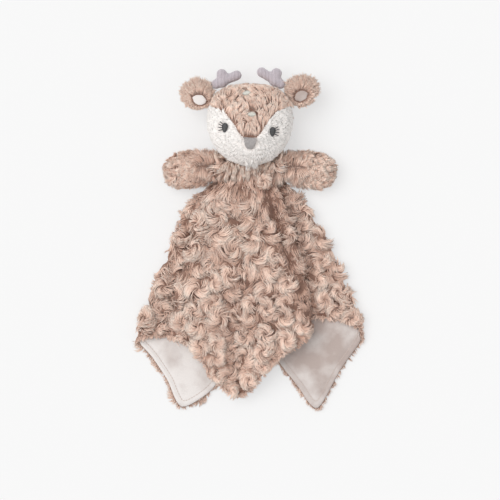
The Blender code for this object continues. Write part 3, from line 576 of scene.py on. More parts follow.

# The lining is a square of smooth cream velour, bagged out with the plush: sewn to it right sides together,
# turned, and held flat by a row of topstitching just inside the hem. Where it shows at the lower corners it
# lies in soft valleys. Its colour has painted shade: large darker patches, growing darker towards the right.
LINING_NEAR, LINING_FAR, LINING_LOFT = -2.35 * MM, -3.35 * MM, 0.3 * MM
LINING_OFF_FLOOR, LINING_HEM_ROUND = 0.4 * MM, 0.3 * MM
LINING_RUMPLE, LINING_VALLEY, LINING_VALLEY_FADE = 0.5 * MM, 4.5 * MM, (6 * MM, 20 * MM)
HEM_DIP, HEM_DIP_INSET, HEM_DIP_WIDTH = 0.35 * MM, 2.4 * MM, 1.8 * MM
HEM_COLUMNS_BESIDE = 14
TOPSTITCH_INSET, TOPSTITCH_STAND = 5.5 * MM, 0.1 * MM
TOPSTITCH_GROOVE, TOPSTITCH_GROOVE_WIDTH = 1.1 * MM, 1.2 * MM
TOPSTITCH_PITCH, TOPSTITCH_LENGTH, TOPSTITCH_THICK = 3.2 * MM, 2.7 * MM, 0.9 * MM
LINING_COLOUR, LINING_PAINTED_SHADE = (0.88, 0.835, 0.81), (0.52, 0.43, 0.395)
LINING_PAINTED_SHADE_FROM, LINING_PAINTED_SHADE_TO = -20 * MM, 50 * MM


def uneven(points, scale, offset=(0, 0, 0)):
    """A smooth random value, between about -1 and 1, at each point."""
    return np.array([noise.noise(Vector(point) * scale + Vector(offset)) for point in points.reshape(-1, 3)])


hem_line = surface[-1]
hem_middles = (hem_line + np.roll(hem_line, -1, 0)) / 2
inset = np.min([np.linalg.norm(surface - np.roll(line, shift, 0), axis=2)
                for line in (hem_line, hem_middles)
                for shift in range(-HEM_COLUMNS_BESIDE, HEM_COLUMNS_BESIDE + 1)], axis=0)
dent = LINING_RUMPLE * uneven(surface, 38).reshape(inset.shape)
dent -= TOPSTITCH_GROOVE * np.exp(-((inset - TOPSTITCH_INSET) / TOPSTITCH_GROOVE_WIDTH) ** 2)
dent += HEM_DIP * np.exp(-((inset - HEM_DIP_INSET) / HEM_DIP_WIDTH) ** 2)
on_floor = np.clip(1 - cloth_layer / SIDE_SHARE, 0, 1)[None]
waves = uneven(surface, 26, (3, 1, 0)).reshape(inset.shape)
dent += LINING_VALLEY * np.maximum(waves + 0.1, 0) * on_floor * smooth_share(inset, *LINING_VALLEY_FADE)
lining_face = surface + cloth_out * (LINING_FAR - LINING_LOFT - dent)[..., None]
lining_back = surface + cloth_out * LINING_NEAR
for lining_side in (lining_face, lining_back):
    lining_side[..., 2] = np.maximum(lining_side[..., 2], LINING_OFF_FLOOR)
lining_velour = new_finish("lining_velour", LINING_COLOUR, 0.9, 0.35)
place = add_node(lining_velour, "ShaderNodeTexCoord").outputs["Object"]
nap = add_node(lining_velour, "ShaderNodeTexNoise", Vector=place, Scale=1600.0, Detail=4.0, Roughness=0.7)
# Painted shade: large dark patches, which spread and darken towards the right.
shade_patches = add_node(lining_velour, "ShaderNodeTexNoise", Vector=place, Scale=35.0, Detail=4.0)
across = add_node(lining_velour, "ShaderNodeSeparateXYZ", Vector=place).outputs["X"]
painted_shade_rightward = add_node(lining_velour, "ShaderNodeMapRange", Value=across, _1=LINING_PAINTED_SHADE_FROM,
                    _2=LINING_PAINTED_SHADE_TO, _3=0.0, _4=0.33)
shade_patches_and_rightward = add_node(lining_velour, "ShaderNodeMath", _0=shade_patches.outputs["Fac"], _1=painted_shade_rightward.outputs[0])
shade_patches_and_rightward.operation = "SUBTRACT"
painted_shade_colour = colour_steps(lining_velour, shade_patches_and_rightward.outputs[0], ((0.1, LINING_PAINTED_SHADE), (0.5, LINING_COLOUR)))
# Painted shade: the fine nap is darker where its bump is low.
nap_painted_shade = colour_steps(lining_velour, nap.outputs["Fac"], ((0.3, (0.86, 0.85, 0.84)), (0.65, (1, 1, 1))))
wire(lining_velour, mixed(lining_velour, 1.0, painted_shade_colour, nap_painted_shade, "MULTIPLY"), nap.outputs["Fac"], 0.5, 0.0004)
blanket_lining = cloth_shell("blanket_velour_lining", lining_velour, lining_back, lining_face,
                             LINING_HEM_ROUND)
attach(blanket_lining, "blanket")
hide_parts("blanket_lining")

# The topstitching follows the groove: in each column, the point of the lining's face that is just far enough
# from the hem. Each stitch is a short thread drawn down at both ends.
seam_line = []
for number in range(inset.shape[1]):
    below = np.flatnonzero(inset[:, number] < TOPSTITCH_INSET)[0]
    above_gap, below_gap = inset[below - 1, number] - TOPSTITCH_INSET, TOPSTITCH_INSET - inset[below, number]
    near, far = lining_face[below - 1, number], lining_face[below, number]
    crossing = (near * below_gap + far * above_gap) / (above_gap + below_gap)
    seam_line.append(crossing - cloth_out[below, number] * TOPSTITCH_STAND)
seam_line = np.array(seam_line + seam_line[:1])
seam_walk = np.concatenate([[0], np.cumsum(np.linalg.norm(np.diff(seam_line, axis=0), axis=1))])
bm = bmesh.new()
for start in np.arange(0, seam_walk[-1] - TOPSTITCH_PITCH, TOPSTITCH_PITCH):
    here, after = (Vector([np.interp(walk, seam_walk, seam_line[:, k]) for k in range(3)])
                   for walk in (start, start + TOPSTITCH_LENGTH))
    turn = (after - here).to_track_quat("Z", "Y").to_matrix().to_4x4()
    size = Matrix.Diagonal((TOPSTITCH_THICK / 2, TOPSTITCH_THICK / 2, (after - here).length / 2, 1))
    bmesh.ops.create_uvsphere(bm, u_segments=6, v_segments=5, radius=1,
                              matrix=Matrix.Translation((here + after) / 2) @ turn @ size)
beige_thread = new_finish("beige_thread", (0.62, 0.52, 0.47), 0.6, 0.1)
topstitch = new_piece("blanket_topstitch", bm, beige_thread)
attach(topstitch, "blanket")

# The neck is the blanket's own middle, bunched into a soft roll and stitched through. The head and the arms
# are sewn to it, and only its pile shows between them.
NECK_Y, NECK_Z = 78 * MM, 16.4 * MM
NECK_TUCK = 2.0 * MM
NECK_LOCKS, NECK_LOCK_LENGTH, NECK_PILE_BELOW = 3600, 15 * MM, 4 * MM
NECK_ENDS, NECK_ENDS_UP = (20 * MM, 34 * MM), 2 * MM
PINCH_PLACE, PINCH_SIZE = (15 * MM, 62.5 * MM, 27 * MM), (6.8 * MM, 6.8 * MM, 5.2 * MM)
PINCH_REACH = 8 * MM
COVER_OFF_FLOOR = 0.3 * MM
FILLING_PRESSURE, FILLING_FRAMES = 4, 20
SMOOTHINGS = 3


def settle(piece):
    """Applies the piece's modifiers to its mesh."""
    graph = bpy.context.evaluated_depsgraph_get()
    mesh = bpy.data.meshes.new_from_object(piece.evaluated_get(graph))
    piece.modifiers.clear()
    piece.data = mesh
    mesh.shade_smooth()


def points_of(piece):
    """The piece's points as an array."""
    points = np.empty(len(piece.data.vertices) * 3, np.float32)
    piece.data.vertices.foreach_get("co", points)
    return points.reshape(-1, 3).astype(float)


def stuffed(name, node, grow, voxel, cap, finish):
    """A sewn cover blown up by its filling: the solid's outline grown to the cover, then swollen a little."""
    bm = bmesh.new()
    bm.from_mesh(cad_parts[node].data)
    bmesh.ops.remove_doubles(bm, verts=bm.verts, dist=1e-5)
    bm.normal_update()
    for vert, normal in [(vert, vert.normal.copy()) for vert in bm.verts]:
        vert.co += normal * grow
    cover = new_piece(name, bm, finish)
    remesh = cover.modifiers.new("skin", "REMESH")
    remesh.mode = "VOXEL"
    remesh.voxel_size = voxel
    settle(cover)
    bm = bmesh.new()
    bm.from_mesh(cover.data)
    for _ in range(SMOOTHINGS):
        bmesh.ops.smooth_vert(bm, verts=bm.verts, factor=0.5,
                              use_axis_x=True, use_axis_y=True, use_axis_z=True)
    bm.to_mesh(cover.data)
    bm.free()
    start = points_of(cover)
    cloth = cover.modifiers.new("filling", "CLOTH")
    cloth.settings.use_pressure = True
    cloth.settings.uniform_pressure_force = FILLING_PRESSURE
    cloth.settings.effector_weights.gravity = 0
    cloth.settings.quality = 4
    for number in range(1, FILLING_FRAMES + 1):
        bpy.context.scene.frame_set(number)
    settle(cover)
    bpy.context.scene.frame_set(1)
    moved = points_of(cover) - start
    far = np.linalg.norm(moved, axis=1, keepdims=True)
    swollen = start + moved * np.minimum(1, cap / np.maximum(far, 1e-9))
    swollen[:, 2] = np.maximum(swollen[:, 2], COVER_OFF_FLOOR)
    cover.data.vertices.foreach_set("co", swollen.astype(np.float32).ravel())
    smoother = cover.modifiers.new("smooth", "SUBSURF")
    smoother.levels = smoother.render_levels = 1
    settle(cover)
    return cover


def scatter(piece, count, seed):
    """Places spread evenly over a piece, and the way out of it at each."""
    mesh = piece.data
    mesh.calc_loop_triangles()
    corners = np.empty(len(mesh.loop_triangles) * 3, np.int32)
    mesh.loop_triangles.foreach_get("vertices", corners)
    corners = corners.reshape(-1, 3)
    points = points_of(piece)
    normals = np.array([vert.normal for vert in mesh.vertices])
    a, b, c = (points[corners[:, k]] for k in range(3))
    area = np.linalg.norm(np.cross(b - a, c - a), axis=1)
    rng = np.random.default_rng(seed)
    chosen = rng.choice(len(area), count, p=area / area.sum())
    weights = rng.dirichlet((1, 1, 1), count)[..., None]
    return (points[corners[chosen]] * weights).sum(1), unit((normals[corners[chosen]] * weights).sum(1))


def tufted(roots, share, seed, length, width, lift, tone, sway):
    """Each lock's leader, length, width, lift, sway and tone: alike within a tuft, and a little different
    from lock to lock."""
    rng = np.random.default_rng(seed)
    count = len(roots)
    leader = leaders_of(roots, share, seed + 1)
    tuft, own = rng.normal(0, 1, (4, count))[:, leader], rng.normal(0, 1, (4, count))
    length = length * (1 + 0.13 * tuft[0] + 0.08 * own[0])
    width = width * rng.uniform(0.7, 1.15, count)
    lift = np.clip(lift * (1 + 0.3 * tuft[1] + 0.12 * own[1]), 0.1, 2)
    sway = sway * (0.8 * tuft[2] + 0.3 * own[2])
    return leader, length, width, lift, sway, np.clip(tone + 0.19 * tuft[3] + 0.12 * own[3], 0, 1)


def turned(vectors, about, angle):
    """Vectors turned about unit axes at right angles to them, by an angle each."""
    return vectors * np.cos(angle)[:, None] + np.cross(about, vectors) * np.sin(angle)[:, None]


neck = stuffed("neck_roll", "neck_gather", grow=-NECK_TUCK, voxel=3 * MM, cap=1 * MM, finish=painted_shade_fawn_backing)
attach(neck, "blanket")
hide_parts("neck_gather")
roots, out = scatter(neck, NECK_LOCKS * 2, 21)
upper = np.flatnonzero(roots[:, 2] > NECK_Z - NECK_PILE_BELOW)[:NECK_LOCKS]
roots, out = roots[upper], out[upper]
leader, length, width, lift, sway, tone = tufted(
    roots, share=0.06, seed=22, length=NECK_LOCK_LENGTH, width=LOCK_WIDTH, lift=0.8, tone=1.05, sway=0.2)
ends = smooth_share(np.abs(roots[:, 0]), *NECK_ENDS)
upward = np.where(roots[:, 1] > NECK_Y - NECK_ENDS_UP, ends, 0)
way = np.column_stack([0.45 * np.sign(roots[:, 0]) * ends, 2 * upward - 1, np.full(len(roots), 0.05)])
lie = unit(flat_on(out, way))
over_pinch = np.exp(-((roots[:, 0] - PINCH_PLACE[0]) / PINCH_REACH) ** 4)
length = length * (1 + 0.25 * ends) * (1 - 0.5 * over_pinch)
neck_pile = lay_pile("neck_pile", fawn_pile, "blanket", roots, out, turned(lie, out, sway), length, width,
                     lift, sway, tone, leader)

# Under the chin one fold of the gathers is pinched into a small ball beside the split between two pleats, and
# its pile turns round it. The pile is painted darker towards the ball's rim, as shade.
PINCH_LOCKS, PINCH_LOCK_LENGTH, PINCH_RIM_PAINTED_SHADE = 620, 8 * MM, (5 * MM, 7 * MM)

bm = bmesh.new()
bmesh.ops.create_grid(bm, x_segments=20, y_segments=12, size=1)
for vert in bm.verts:
    around, up = vert.co.x * math.pi, vert.co.y * math.pi / 2
    facing = np.array([math.cos(around) * math.cos(up), math.sin(around) * math.cos(up), math.sin(up)])
    vert.co = PINCH_PLACE + facing * PINCH_SIZE
bmesh.ops.remove_doubles(bm, verts=bm.verts, dist=1e-7)
pinch = new_piece("neck_pinched_fold", bm, painted_shade_fawn_backing)
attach(pinch, "blanket")
roots, out = scatter(pinch, PINCH_LOCKS, 61)
leader, length, width, lift, sway, tone = tufted(
    roots, share=0.05, seed=62, length=PINCH_LOCK_LENGTH, width=LOCK_WIDTH, lift=0.3, tone=0.85, sway=0.3)
away = (roots - PINCH_PLACE) * (1, 1, 0)
lie = unit(flat_on(out, np.cross(away, (0, 0, 1)) + away * 0.3) + 1e-6)
# Painted shade: darker tones towards the ball's rim, where it meets the cloth.
tone = np.clip(tone - 0.9 * smooth_share(np.linalg.norm(away, axis=1), *PINCH_RIM_PAINTED_SHADE), 0, 1)
pinch_pile = lay_pile("neck_pinched_pile", fawn_pile, "blanket", roots, out, lie, length, width, lift,
                      sway - 0.9, tone, leader)

# Each arm is a stuffed paw of two plush halves, sewn round the edge, turned and filled, and hand-stitched
# into the end of the neck roll, from which it lifts.
COVER_OVER_FILLING, COVER_SWELLING = 2.9 * MM, 1.2 * MM
ARM_TUCK = 1.2 * MM
ARM_LOCKS, ARM_LOCK_LENGTH = 6500, 9 * MM
ARM_PIVOT_X, ARM_ROOT_LENGTH, ARM_ROOT_FADE = 42.8 * MM, 18 * MM, 12 * MM
ARM_SLOPE = math.radians(8)

for side, sign in (("left", -1), ("right", 1)):
    arm = stuffed(f"arm_{side}_cover", f"arm_{side}_stuffing",
                  grow=COVER_OVER_FILLING - ARM_TUCK - COVER_SWELLING,
                  voxel=3.5 * MM, cap=2.2 * MM, finish=painted_shade_fawn_backing)
    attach(arm, f"arm_{side}")
    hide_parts(f"arm_{side}_front", f"arm_{side}_back", f"arm_{side}_stuffing")
    roots, out = scatter(arm, ARM_LOCKS, 31 + sign)
    leader, length, width, lift, sway, tone = tufted(
        roots, share=0.07, seed=34 + sign, length=ARM_LOCK_LENGTH, width=LOCK_WIDTH,
        lift=0.38, tone=0.58 + 0.13 * sign, sway=0.38)
    near_neck = smooth_share(ARM_PIVOT_X + ARM_ROOT_LENGTH - sign * roots[:, 0], 0, ARM_ROOT_FADE)
    length = length * (1 + 0.6 * near_neck)
    # Painted shade: the arm's locks near the neck roll, where the arm meets it, get darker tones.
    tone = np.clip(tone - 0.3 * near_neck, 0, 1)
    reach = np.array([sign * math.cos(ARM_SLOPE), -math.sin(ARM_SLOPE), 0])
    sideways = np.array([0, 1, 0]) * np.sign(roots[:, 1:2] - NECK_Y)
    way = reach * (1 - 0.75 * near_neck[:, None]) + sideways * near_neck[:, None]
    lie = unit(flat_on(out, way) + 0.02)
    wander = uneven(roots, 38, (sign * 7, 0, 0)) * 1.7 * (1 - near_neck)
    pile = lay_pile(f"arm_{side}_pile", fawn_pile, f"arm_{side}", roots, out, turned(lie, out, sway + wander),
                    length, width, lift, sway * 1.5, tone, leader)

# The head is a ball of five plush panels round fibre fill: two cream cheeks, a fawn forehead that runs down
# to the nose in a V, and two fawn backs. It nods where it is sewn to the neck roll.
HEAD_TUCK = 1.0 * MM
SIDE_SEAM_Z = 21 * MM
NOSE_Y, BLAZE_ABOVE_NOSE = 100.5 * MM, 6 * MM
BLAZE_HALF_WIDTH, BLAZE_HEIGHT = 47 * MM, 42 * MM
BLAZE_EDGE_SHARES = ((0.15, 0.0), (0.27, 0.16), (0.40, 0.40), (0.57, 0.64), (0.82, 0.77), (1.0, 0.84))
BLAZE_EDGE = np.array(BLAZE_EDGE_SHARES) * (BLAZE_HALF_WIDTH, BLAZE_HEIGHT)
# The cream roots are a little darker than the tips, as painted shade deep in the pile.
CREAM_ROOT_PAINTED_SHADE, CREAM_MIDDLE, CREAM_TIP = (0.97, 0.90, 0.86), (0.99, 0.935, 0.895), (0.995, 0.955, 0.925)
CREAM_PALE_TIP = (0.998, 0.975, 0.95)


def on_blaze(points):
    """Which points of the face are fawn: those above the V's edges, and all behind the side seam."""
    edge = np.interp(np.abs(points[:, 0]), *BLAZE_EDGE.T, left=-1)
    above = np.where(np.abs(points[:, 0]) < BLAZE_EDGE[0, 0], 0, edge)
    return (points[:, 1] > NOSE_Y + BLAZE_ABOVE_NOSE + above) | (points[:, 2] < SIDE_SEAM_Z)


cream_backing = knit_backing("cream_knit_backing", (0.94, 0.87, 0.83), (0.98, 0.92, 0.88))
cream_pile = pile_finish("cream_pile", 0.2,
                         ((0.0, CREAM_ROOT_PAINTED_SHADE), (0.45, CREAM_MIDDLE), (1.0, CREAM_TIP)),
                         ((0.0, CREAM_MIDDLE), (0.45, CREAM_TIP), (1.0, CREAM_PALE_TIP)))
head = stuffed("head_cover", "head_stuffing", grow=COVER_OVER_FILLING - HEAD_TUCK - COVER_SWELLING,
               voxel=4 * MM, cap=2.4 * MM, finish=painted_shade_fawn_backing)
head.data.materials.append(cream_backing)
middles = np.array([polygon.center for polygon in head.data.polygons])
for polygon, fawn in zip(head.data.polygons, on_blaze(middles)):
    polygon.material_index = 0 if fawn else 1
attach(head, "head")
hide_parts("head_stuffing", "forehead_panel", "cheek_left", "cheek_right",
            "head_back_left", "head_back_right")
head_skin = BVHTree.FromObject(head, bpy.context.evaluated_depsgraph_get())


def face_height(x, y):
    """How high the head's cover is over a point of the floor."""
    hit = head_skin.ray_cast(Vector((x, y, 0.2)), Vector((0, 0, -1)))[0]
    return hit.z if hit else 0.0


# The nose, the eyes with their lashes and the two forehead spots are satin stitch: rows of thread laid side
# by side through the cover, over a little padding, so that they stand level with the short pile round them.
FACE_ROLL = math.radians(-5)
THREAD = 0.75 * MM
NOSE_SIZE = (14.5 * MM, 12 * MM)
EYE_SIZE, EYE_SPACING, EYES_ABOVE_NOSE, EYES_SIDESTEP = (5.6 * MM, 9.6 * MM), 51 * MM, 14.5 * MM, -2.7 * MM
LASHES = ((-0.4, -16), (-0.05, 6), (0.3, 28), (0.6, 48))
LASH_LENGTH, LASH_ROOT = 4.6 * MM, 1.2 * MM
SPOTS = {"upper": (-8.5 * MM, 53.5 * MM, 20), "lower": (-0.8 * MM, 30.6 * MM, 5)}
SPOT_SIZE = (8.5 * MM, 5.5 * MM)
STITCH_RISE, SPOT_RISE, SHORTEST_STITCH = 2.6 * MM, 3.8 * MM, 1.5 * MM


def face_place(x, y):
    """A point of the face in plan, from the nose's centre. The stitched features lean a little."""
    place = Matrix.Rotation(FACE_ROLL, 2) @ Vector((x, y))
    return place.x, place.y + NOSE_Y


def stitch(bm, start, end, thread, rise, bow=0.6 * MM, cuts=6):
    """One stitch: a thread between two points of the face, in plan, bowed up over its padding."""
    rings = []
    for share in np.linspace(0, 1, cuts + 1):
        x, y = (1 - share) * start[0] + share * end[0], (1 - share) * start[1] + share * end[1]
        swell = math.sin(math.pi * min(max(share, 0.06), 0.94))
        centre = Vector((x, y, face_height(x, y) + rise * swell ** 0.35 + bow * swell))
        along = Vector((end[0] - start[0], end[1] - start[1], 0)).normalized()
        across = Vector((-along.y, along.x, 0))
        size = thread / 2 * (0.55 + 0.45 * swell ** 0.5)
        rings.append([centre + across * (size * math.cos(a)) + Vector((0, 0, size * math.sin(a)))
                      for a in np.linspace(0, 2 * math.pi, 6, endpoint=False)])
    loops = []
    for ring in rings:
        verts = [bm.verts.new(point) for point in ring]
        loops.append([bm.edges.new((verts[i - 1], verts[i])) for i in range(len(verts))])
    for lower, upper in zip(loops, loops[1:]):
        bmesh.ops.bridge_loops(bm, edges=lower + upper)
    for end_loop in (loops[0], loops[-1]):
        bmesh.ops.contextual_create(bm, geom=end_loop)


def thread_finish(name, dark, light, roughness=0.55):
    """Glossy embroidery thread, twisted and a little uneven."""
    finish = new_finish(name, light, roughness, 0.1)
    place = add_node(finish, "ShaderNodeTexCoord").outputs["Object"]
    fuzz = add_node(finish, "ShaderNodeTexNoise", Vector=place, Scale=700.0, Detail=3.0)
    twist = add_node(finish, "ShaderNodeTexWave", Vector=place, Scale=900.0, Distortion=2.0)
    tone = colour_steps(finish, fuzz.outputs["Fac"], ((0.3, dark), (0.7, light)))
    wire(finish, tone, twist.outputs["Fac"], 0.4, 0.0003)
    return finish


grey_thread = thread_finish("grey_thread", (0.42, 0.39, 0.385), (0.56, 0.525, 0.515))
dark_thread = thread_finish("dark_thread", (0.035, 0.036, 0.04), (0.10, 0.105, 0.11))
eye_thread = thread_finish("eye_thread", (0.075, 0.075, 0.078), (0.15, 0.15, 0.152))
spot_thread = thread_finish("spot_thread", (0.70, 0.69, 0.62), (0.86, 0.85, 0.79))


def nose_half(height):
    """Half the nose's width at a height from its centre: a shield, flat on top, drawn in to a round foot."""
    share = np.clip(0.5 - height / NOSE_SIZE[1], 0, 1)
    return NOSE_SIZE[0] / 2 * (1 - 0.30 * share - 0.45 * share ** 6)


bm = bmesh.new()
rows = np.arange(-NOSE_SIZE[0] / 2 + THREAD / 2, NOSE_SIZE[0] / 2, THREAD * 0.86)
heights = np.linspace(NOSE_SIZE[1] / 2, -NOSE_SIZE[1] / 2, 40)
for number, x in enumerate(rows):
    foot = max([height for height in heights if nose_half(height) < abs(x)], default=heights[-1])
    top = NOSE_SIZE[1] / 2 + 0.25 * MM * math.sin(number * 2.4)
    if top - foot > SHORTEST_STITCH:
        stitch(bm, face_place(x, top), face_place(x * 0.97, foot), THREAD, STITCH_RISE)
nose = new_piece("nose_satin_stitch", bm, grey_thread)
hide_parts("nose_embroidery")
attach(nose, "head")


def eye_edge(side, height):
    """A point of the eye's outer edge at a share of its half height: broad on top and drawn in below."""
    half = EYE_SIZE[0] / 2 * math.sqrt(max(0.0, 1 - height * height)) * (1 + 0.3 * height)
    return side * (EYE_SPACING / 2 + half) + EYES_SIDESTEP, EYES_ABOVE_NOSE + height * EYE_SIZE[1] / 2, half


for side, sign in (("left", -1), ("right", 1)):
    bm = bmesh.new()
    for height in np.linspace(-0.93, 0.93, 15):
        x, y, half = eye_edge(sign, height)
        inner = x - sign * 2 * half
        stitch(bm, face_place(inner, y - 0.3 * MM), face_place(x, y + 0.3 * MM), THREAD, STITCH_RISE,
               bow=0.5 * MM, cuts=4)
    filling_count = len(bm.faces)
    edge = [eye_edge(sign, height) for height in np.sin(np.linspace(-math.pi / 2, math.pi / 2, 12))]
    outline = [(x, y) for x, y, half in edge] + [(x - sign * 2 * half, y) for x, y, half in reversed(edge)]
    for here, after in zip(outline, outline[1:]):
        if math.dist(here, after) > 0.2 * MM:
            stitch(bm, face_place(*here), face_place(*after), THREAD * 0.95, STITCH_RISE + 0.25 * MM,
                   bow=0.1 * MM, cuts=3)
    for height, angle in LASHES:
        x, y, _ = eye_edge(sign, height)
        a = math.radians(angle)
        tip = (x + sign * LASH_LENGTH * math.cos(a), y + LASH_LENGTH * math.sin(a))
        stitch(bm, face_place(x - sign * LASH_ROOT, y), face_place(*tip), THREAD * 1.3, STITCH_RISE,
               bow=0.5 * MM)
    eye = new_piece(f"eye_{side}_satin_stitch", bm, dark_thread, eye_thread)
    for polygon in eye.data.polygons[:filling_count]:
        polygon.material_index = 1
    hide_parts(f"eye_{side}")
    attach(eye, "head")

for name, (x, y, tilt) in SPOTS.items():
    bm = bmesh.new()
    turn = Matrix.Rotation(math.radians(tilt), 2)
    for across in np.arange(-SPOT_SIZE[0] / 2 + THREAD * 0.5, SPOT_SIZE[0] / 2, THREAD * 0.9):
        half = SPOT_SIZE[1] / 2 * math.sqrt(max(0.04, 1 - (2 * across / SPOT_SIZE[0]) ** 2))
        ends = [Vector((x, y)) + turn @ Vector((across, height)) for height in (-half, half)]
        stitch(bm, face_place(*ends[0]), face_place(*ends[1]), THREAD, SPOT_RISE, cuts=4)
    spot = new_piece(f"forehead_spot_{name}_stitch", bm, spot_thread)
    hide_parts(f"forehead_spot_{name}")
    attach(spot, "head")

# The head's pile: short cream plush on the cheeks, cropped round the eyes and the nose, a longer cream tuft
# under the chin, and the same fawn swirl pile as the blanket's on the forehead, crown and back.
CHEEK_LOCKS, CHEEK_LOCK_LENGTH, CHEEK_LOCK_WIDTH = 14000, 5.4 * MM, 1.35 * MM
CHEEK_WHORL = (0, NOSE_Y + 8 * MM, 60 * MM)
CROWN_LOCKS, CROWN_LOCK_LENGTH = 8000, 8.5 * MM
CROWN_WANDER_FADE, CROWN_SWAY_FADE = (108 * MM, 140 * MM), (104 * MM, 130 * MM)
CHIN_TUFT_LOCKS, CHIN_LOCK_LENGTH, CHIN_LOCK_WIDTH = 90, 8.5 * MM, 1.0 * MM
CHIN_TUFT_X, CHIN_TUFT_Y, CHIN_TUFT_SINK = (-4.5 * MM, 8 * MM), (80.5 * MM, 86 * MM), 0.5 * MM
NOSE_CLEAR_RISE, EYE_CLEAR_OUTWARD, EYE_CLEAR = 0.5 * MM, 1.5 * MM, 2 * MM
HEAD_MIDDLE_Z = 33.5 * MM


def clear_of_stitches(points, margin):
    """0 on the stitched features and 1 beyond a margin round them."""
    lean = np.array(Matrix.Rotation(-FACE_ROLL, 2))
    place = (points[:, :2] - (0, NOSE_Y)) @ lean.T
    features = [((0, NOSE_CLEAR_RISE), (NOSE_SIZE[0] / 2, NOSE_SIZE[1] / 2))]
    features += [((sign * (EYE_SPACING / 2 + EYE_CLEAR_OUTWARD) + EYES_SIDESTEP, EYES_ABOVE_NOSE),
                  (EYE_SIZE[0] / 2 + EYE_CLEAR, EYE_SIZE[1] / 2)) for sign in (-1, 1)]
    features += [((x, y), (SPOT_SIZE[0] / 2, SPOT_SIZE[1] / 2)) for x, y, _ in SPOTS.values()]
    clear = np.ones(len(points))
    for centre, half in features:
        away = np.linalg.norm((place - centre) / half, axis=1)
        clear = np.minimum(clear, smooth_share((away - 1) * min(half), 0, margin))
    return np.where(points[:, 2] < HEAD_MIDDLE_Z, 1, clear)


roots, out = scatter(head, CHEEK_LOCKS * 2 + CROWN_LOCKS * 2, 41)
fawn = on_blaze(roots)
cheek = np.flatnonzero(~fawn)[:CHEEK_LOCKS]
here, clear = roots[cheek], clear_of_stitches(roots[cheek], 1.6 * MM)
kept = np.random.default_rng(42).random(len(here)) < clear + 0.12
here, clear, out_here = here[kept], clear[kept], out[cheek][kept]
leader, length, width, lift, sway, tone = tufted(
    here, share=0.1, seed=43, length=CHEEK_LOCK_LENGTH, width=CHEEK_LOCK_WIDTH,
    lift=0.2, tone=1.0, sway=0.25)
length = length * (0.4 + 0.6 * clear)
away = unit((here - CHEEK_WHORL) * (1, 1, 0.3))
lie = unit(flat_on(out_here, away))
cheek_pile = lay_pile("cheek_pile", cream_pile, "head", here, out_here, turned(lie, out_here, sway), length,
                      width, lift, sway, tone, leader, pull=0.15)

rng = np.random.default_rng(47)
tuft_x, tuft_y = rng.uniform(*CHIN_TUFT_X, CHIN_TUFT_LOCKS), rng.uniform(*CHIN_TUFT_Y, CHIN_TUFT_LOCKS)
here = np.array([(x, y, face_height(x, y) - CHIN_TUFT_SINK) for x, y in zip(tuft_x, tuft_y)])
lie = np.array([0, -1, 0]) + rng.normal(0, 0.18, CHIN_TUFT_LOCKS)[:, None] * (1, 0, 0)
out_here = unit(np.array([0, -0.5, 0.86]) + 0 * lie)
leader, length, width, lift, sway, tone = tufted(
    here, share=0.12, seed=48, length=CHIN_LOCK_LENGTH, width=CHIN_LOCK_WIDTH, lift=0.5, tone=0.8, sway=0.3)
chin_tuft = lay_pile("chin_tuft", cream_pile, "head", here, out_here, lie, length, width, lift, sway, tone,
                     leader)

crown = np.flatnonzero(fawn)[:CROWN_LOCKS]
here, clear = roots[crown], clear_of_stitches(roots[crown], 3 * MM)
kept = np.random.default_rng(44).random(len(here)) < clear + 0.05
here, clear, out_here = here[kept], clear[kept], out[crown][kept]
leader, length, width, lift, sway, tone = tufted(
    here, share=0.07, seed=45, length=CROWN_LOCK_LENGTH, width=LOCK_WIDTH, lift=0.38, tone=0.78, sway=0.42)
length = length * (0.5 + 0.5 * clear)
wander = uneven(here, 42) * 2.0 * smooth_share(here[:, 1], *CROWN_WANDER_FADE)
sway = sway * (0.25 + 0.75 * smooth_share(here[:, 1], *CROWN_SWAY_FADE))
lie = unit(flat_on(out_here, np.array([0, 1, 0]) + 0 * out_here) + 0.01)
crown_pile = lay_pile("crown_pile", fawn_pile, "head", here, out_here, turned(lie, out_here, sway + wander),
                      length, width, lift, sway * 1.5, tone, leader)

# Each ear is a cupped leaf of fluffy plush round a cream velour lining, folded once at its root and sewn into
# the head's side seam. Its pile stands out all round like a brush, and is longest at the top.
EAR_LOCKS, EAR_LOCK_LENGTH, EAR_LOCK_WIDTH = 4200, 5.4 * MM, 0.95 * MM
EAR_LINING_CLEAR = 1.0 * MM
EARS = {"left": 163, "right": 26}
EAR_OUTER_SHORTER = {"left": 0.3, "right": 0.0}

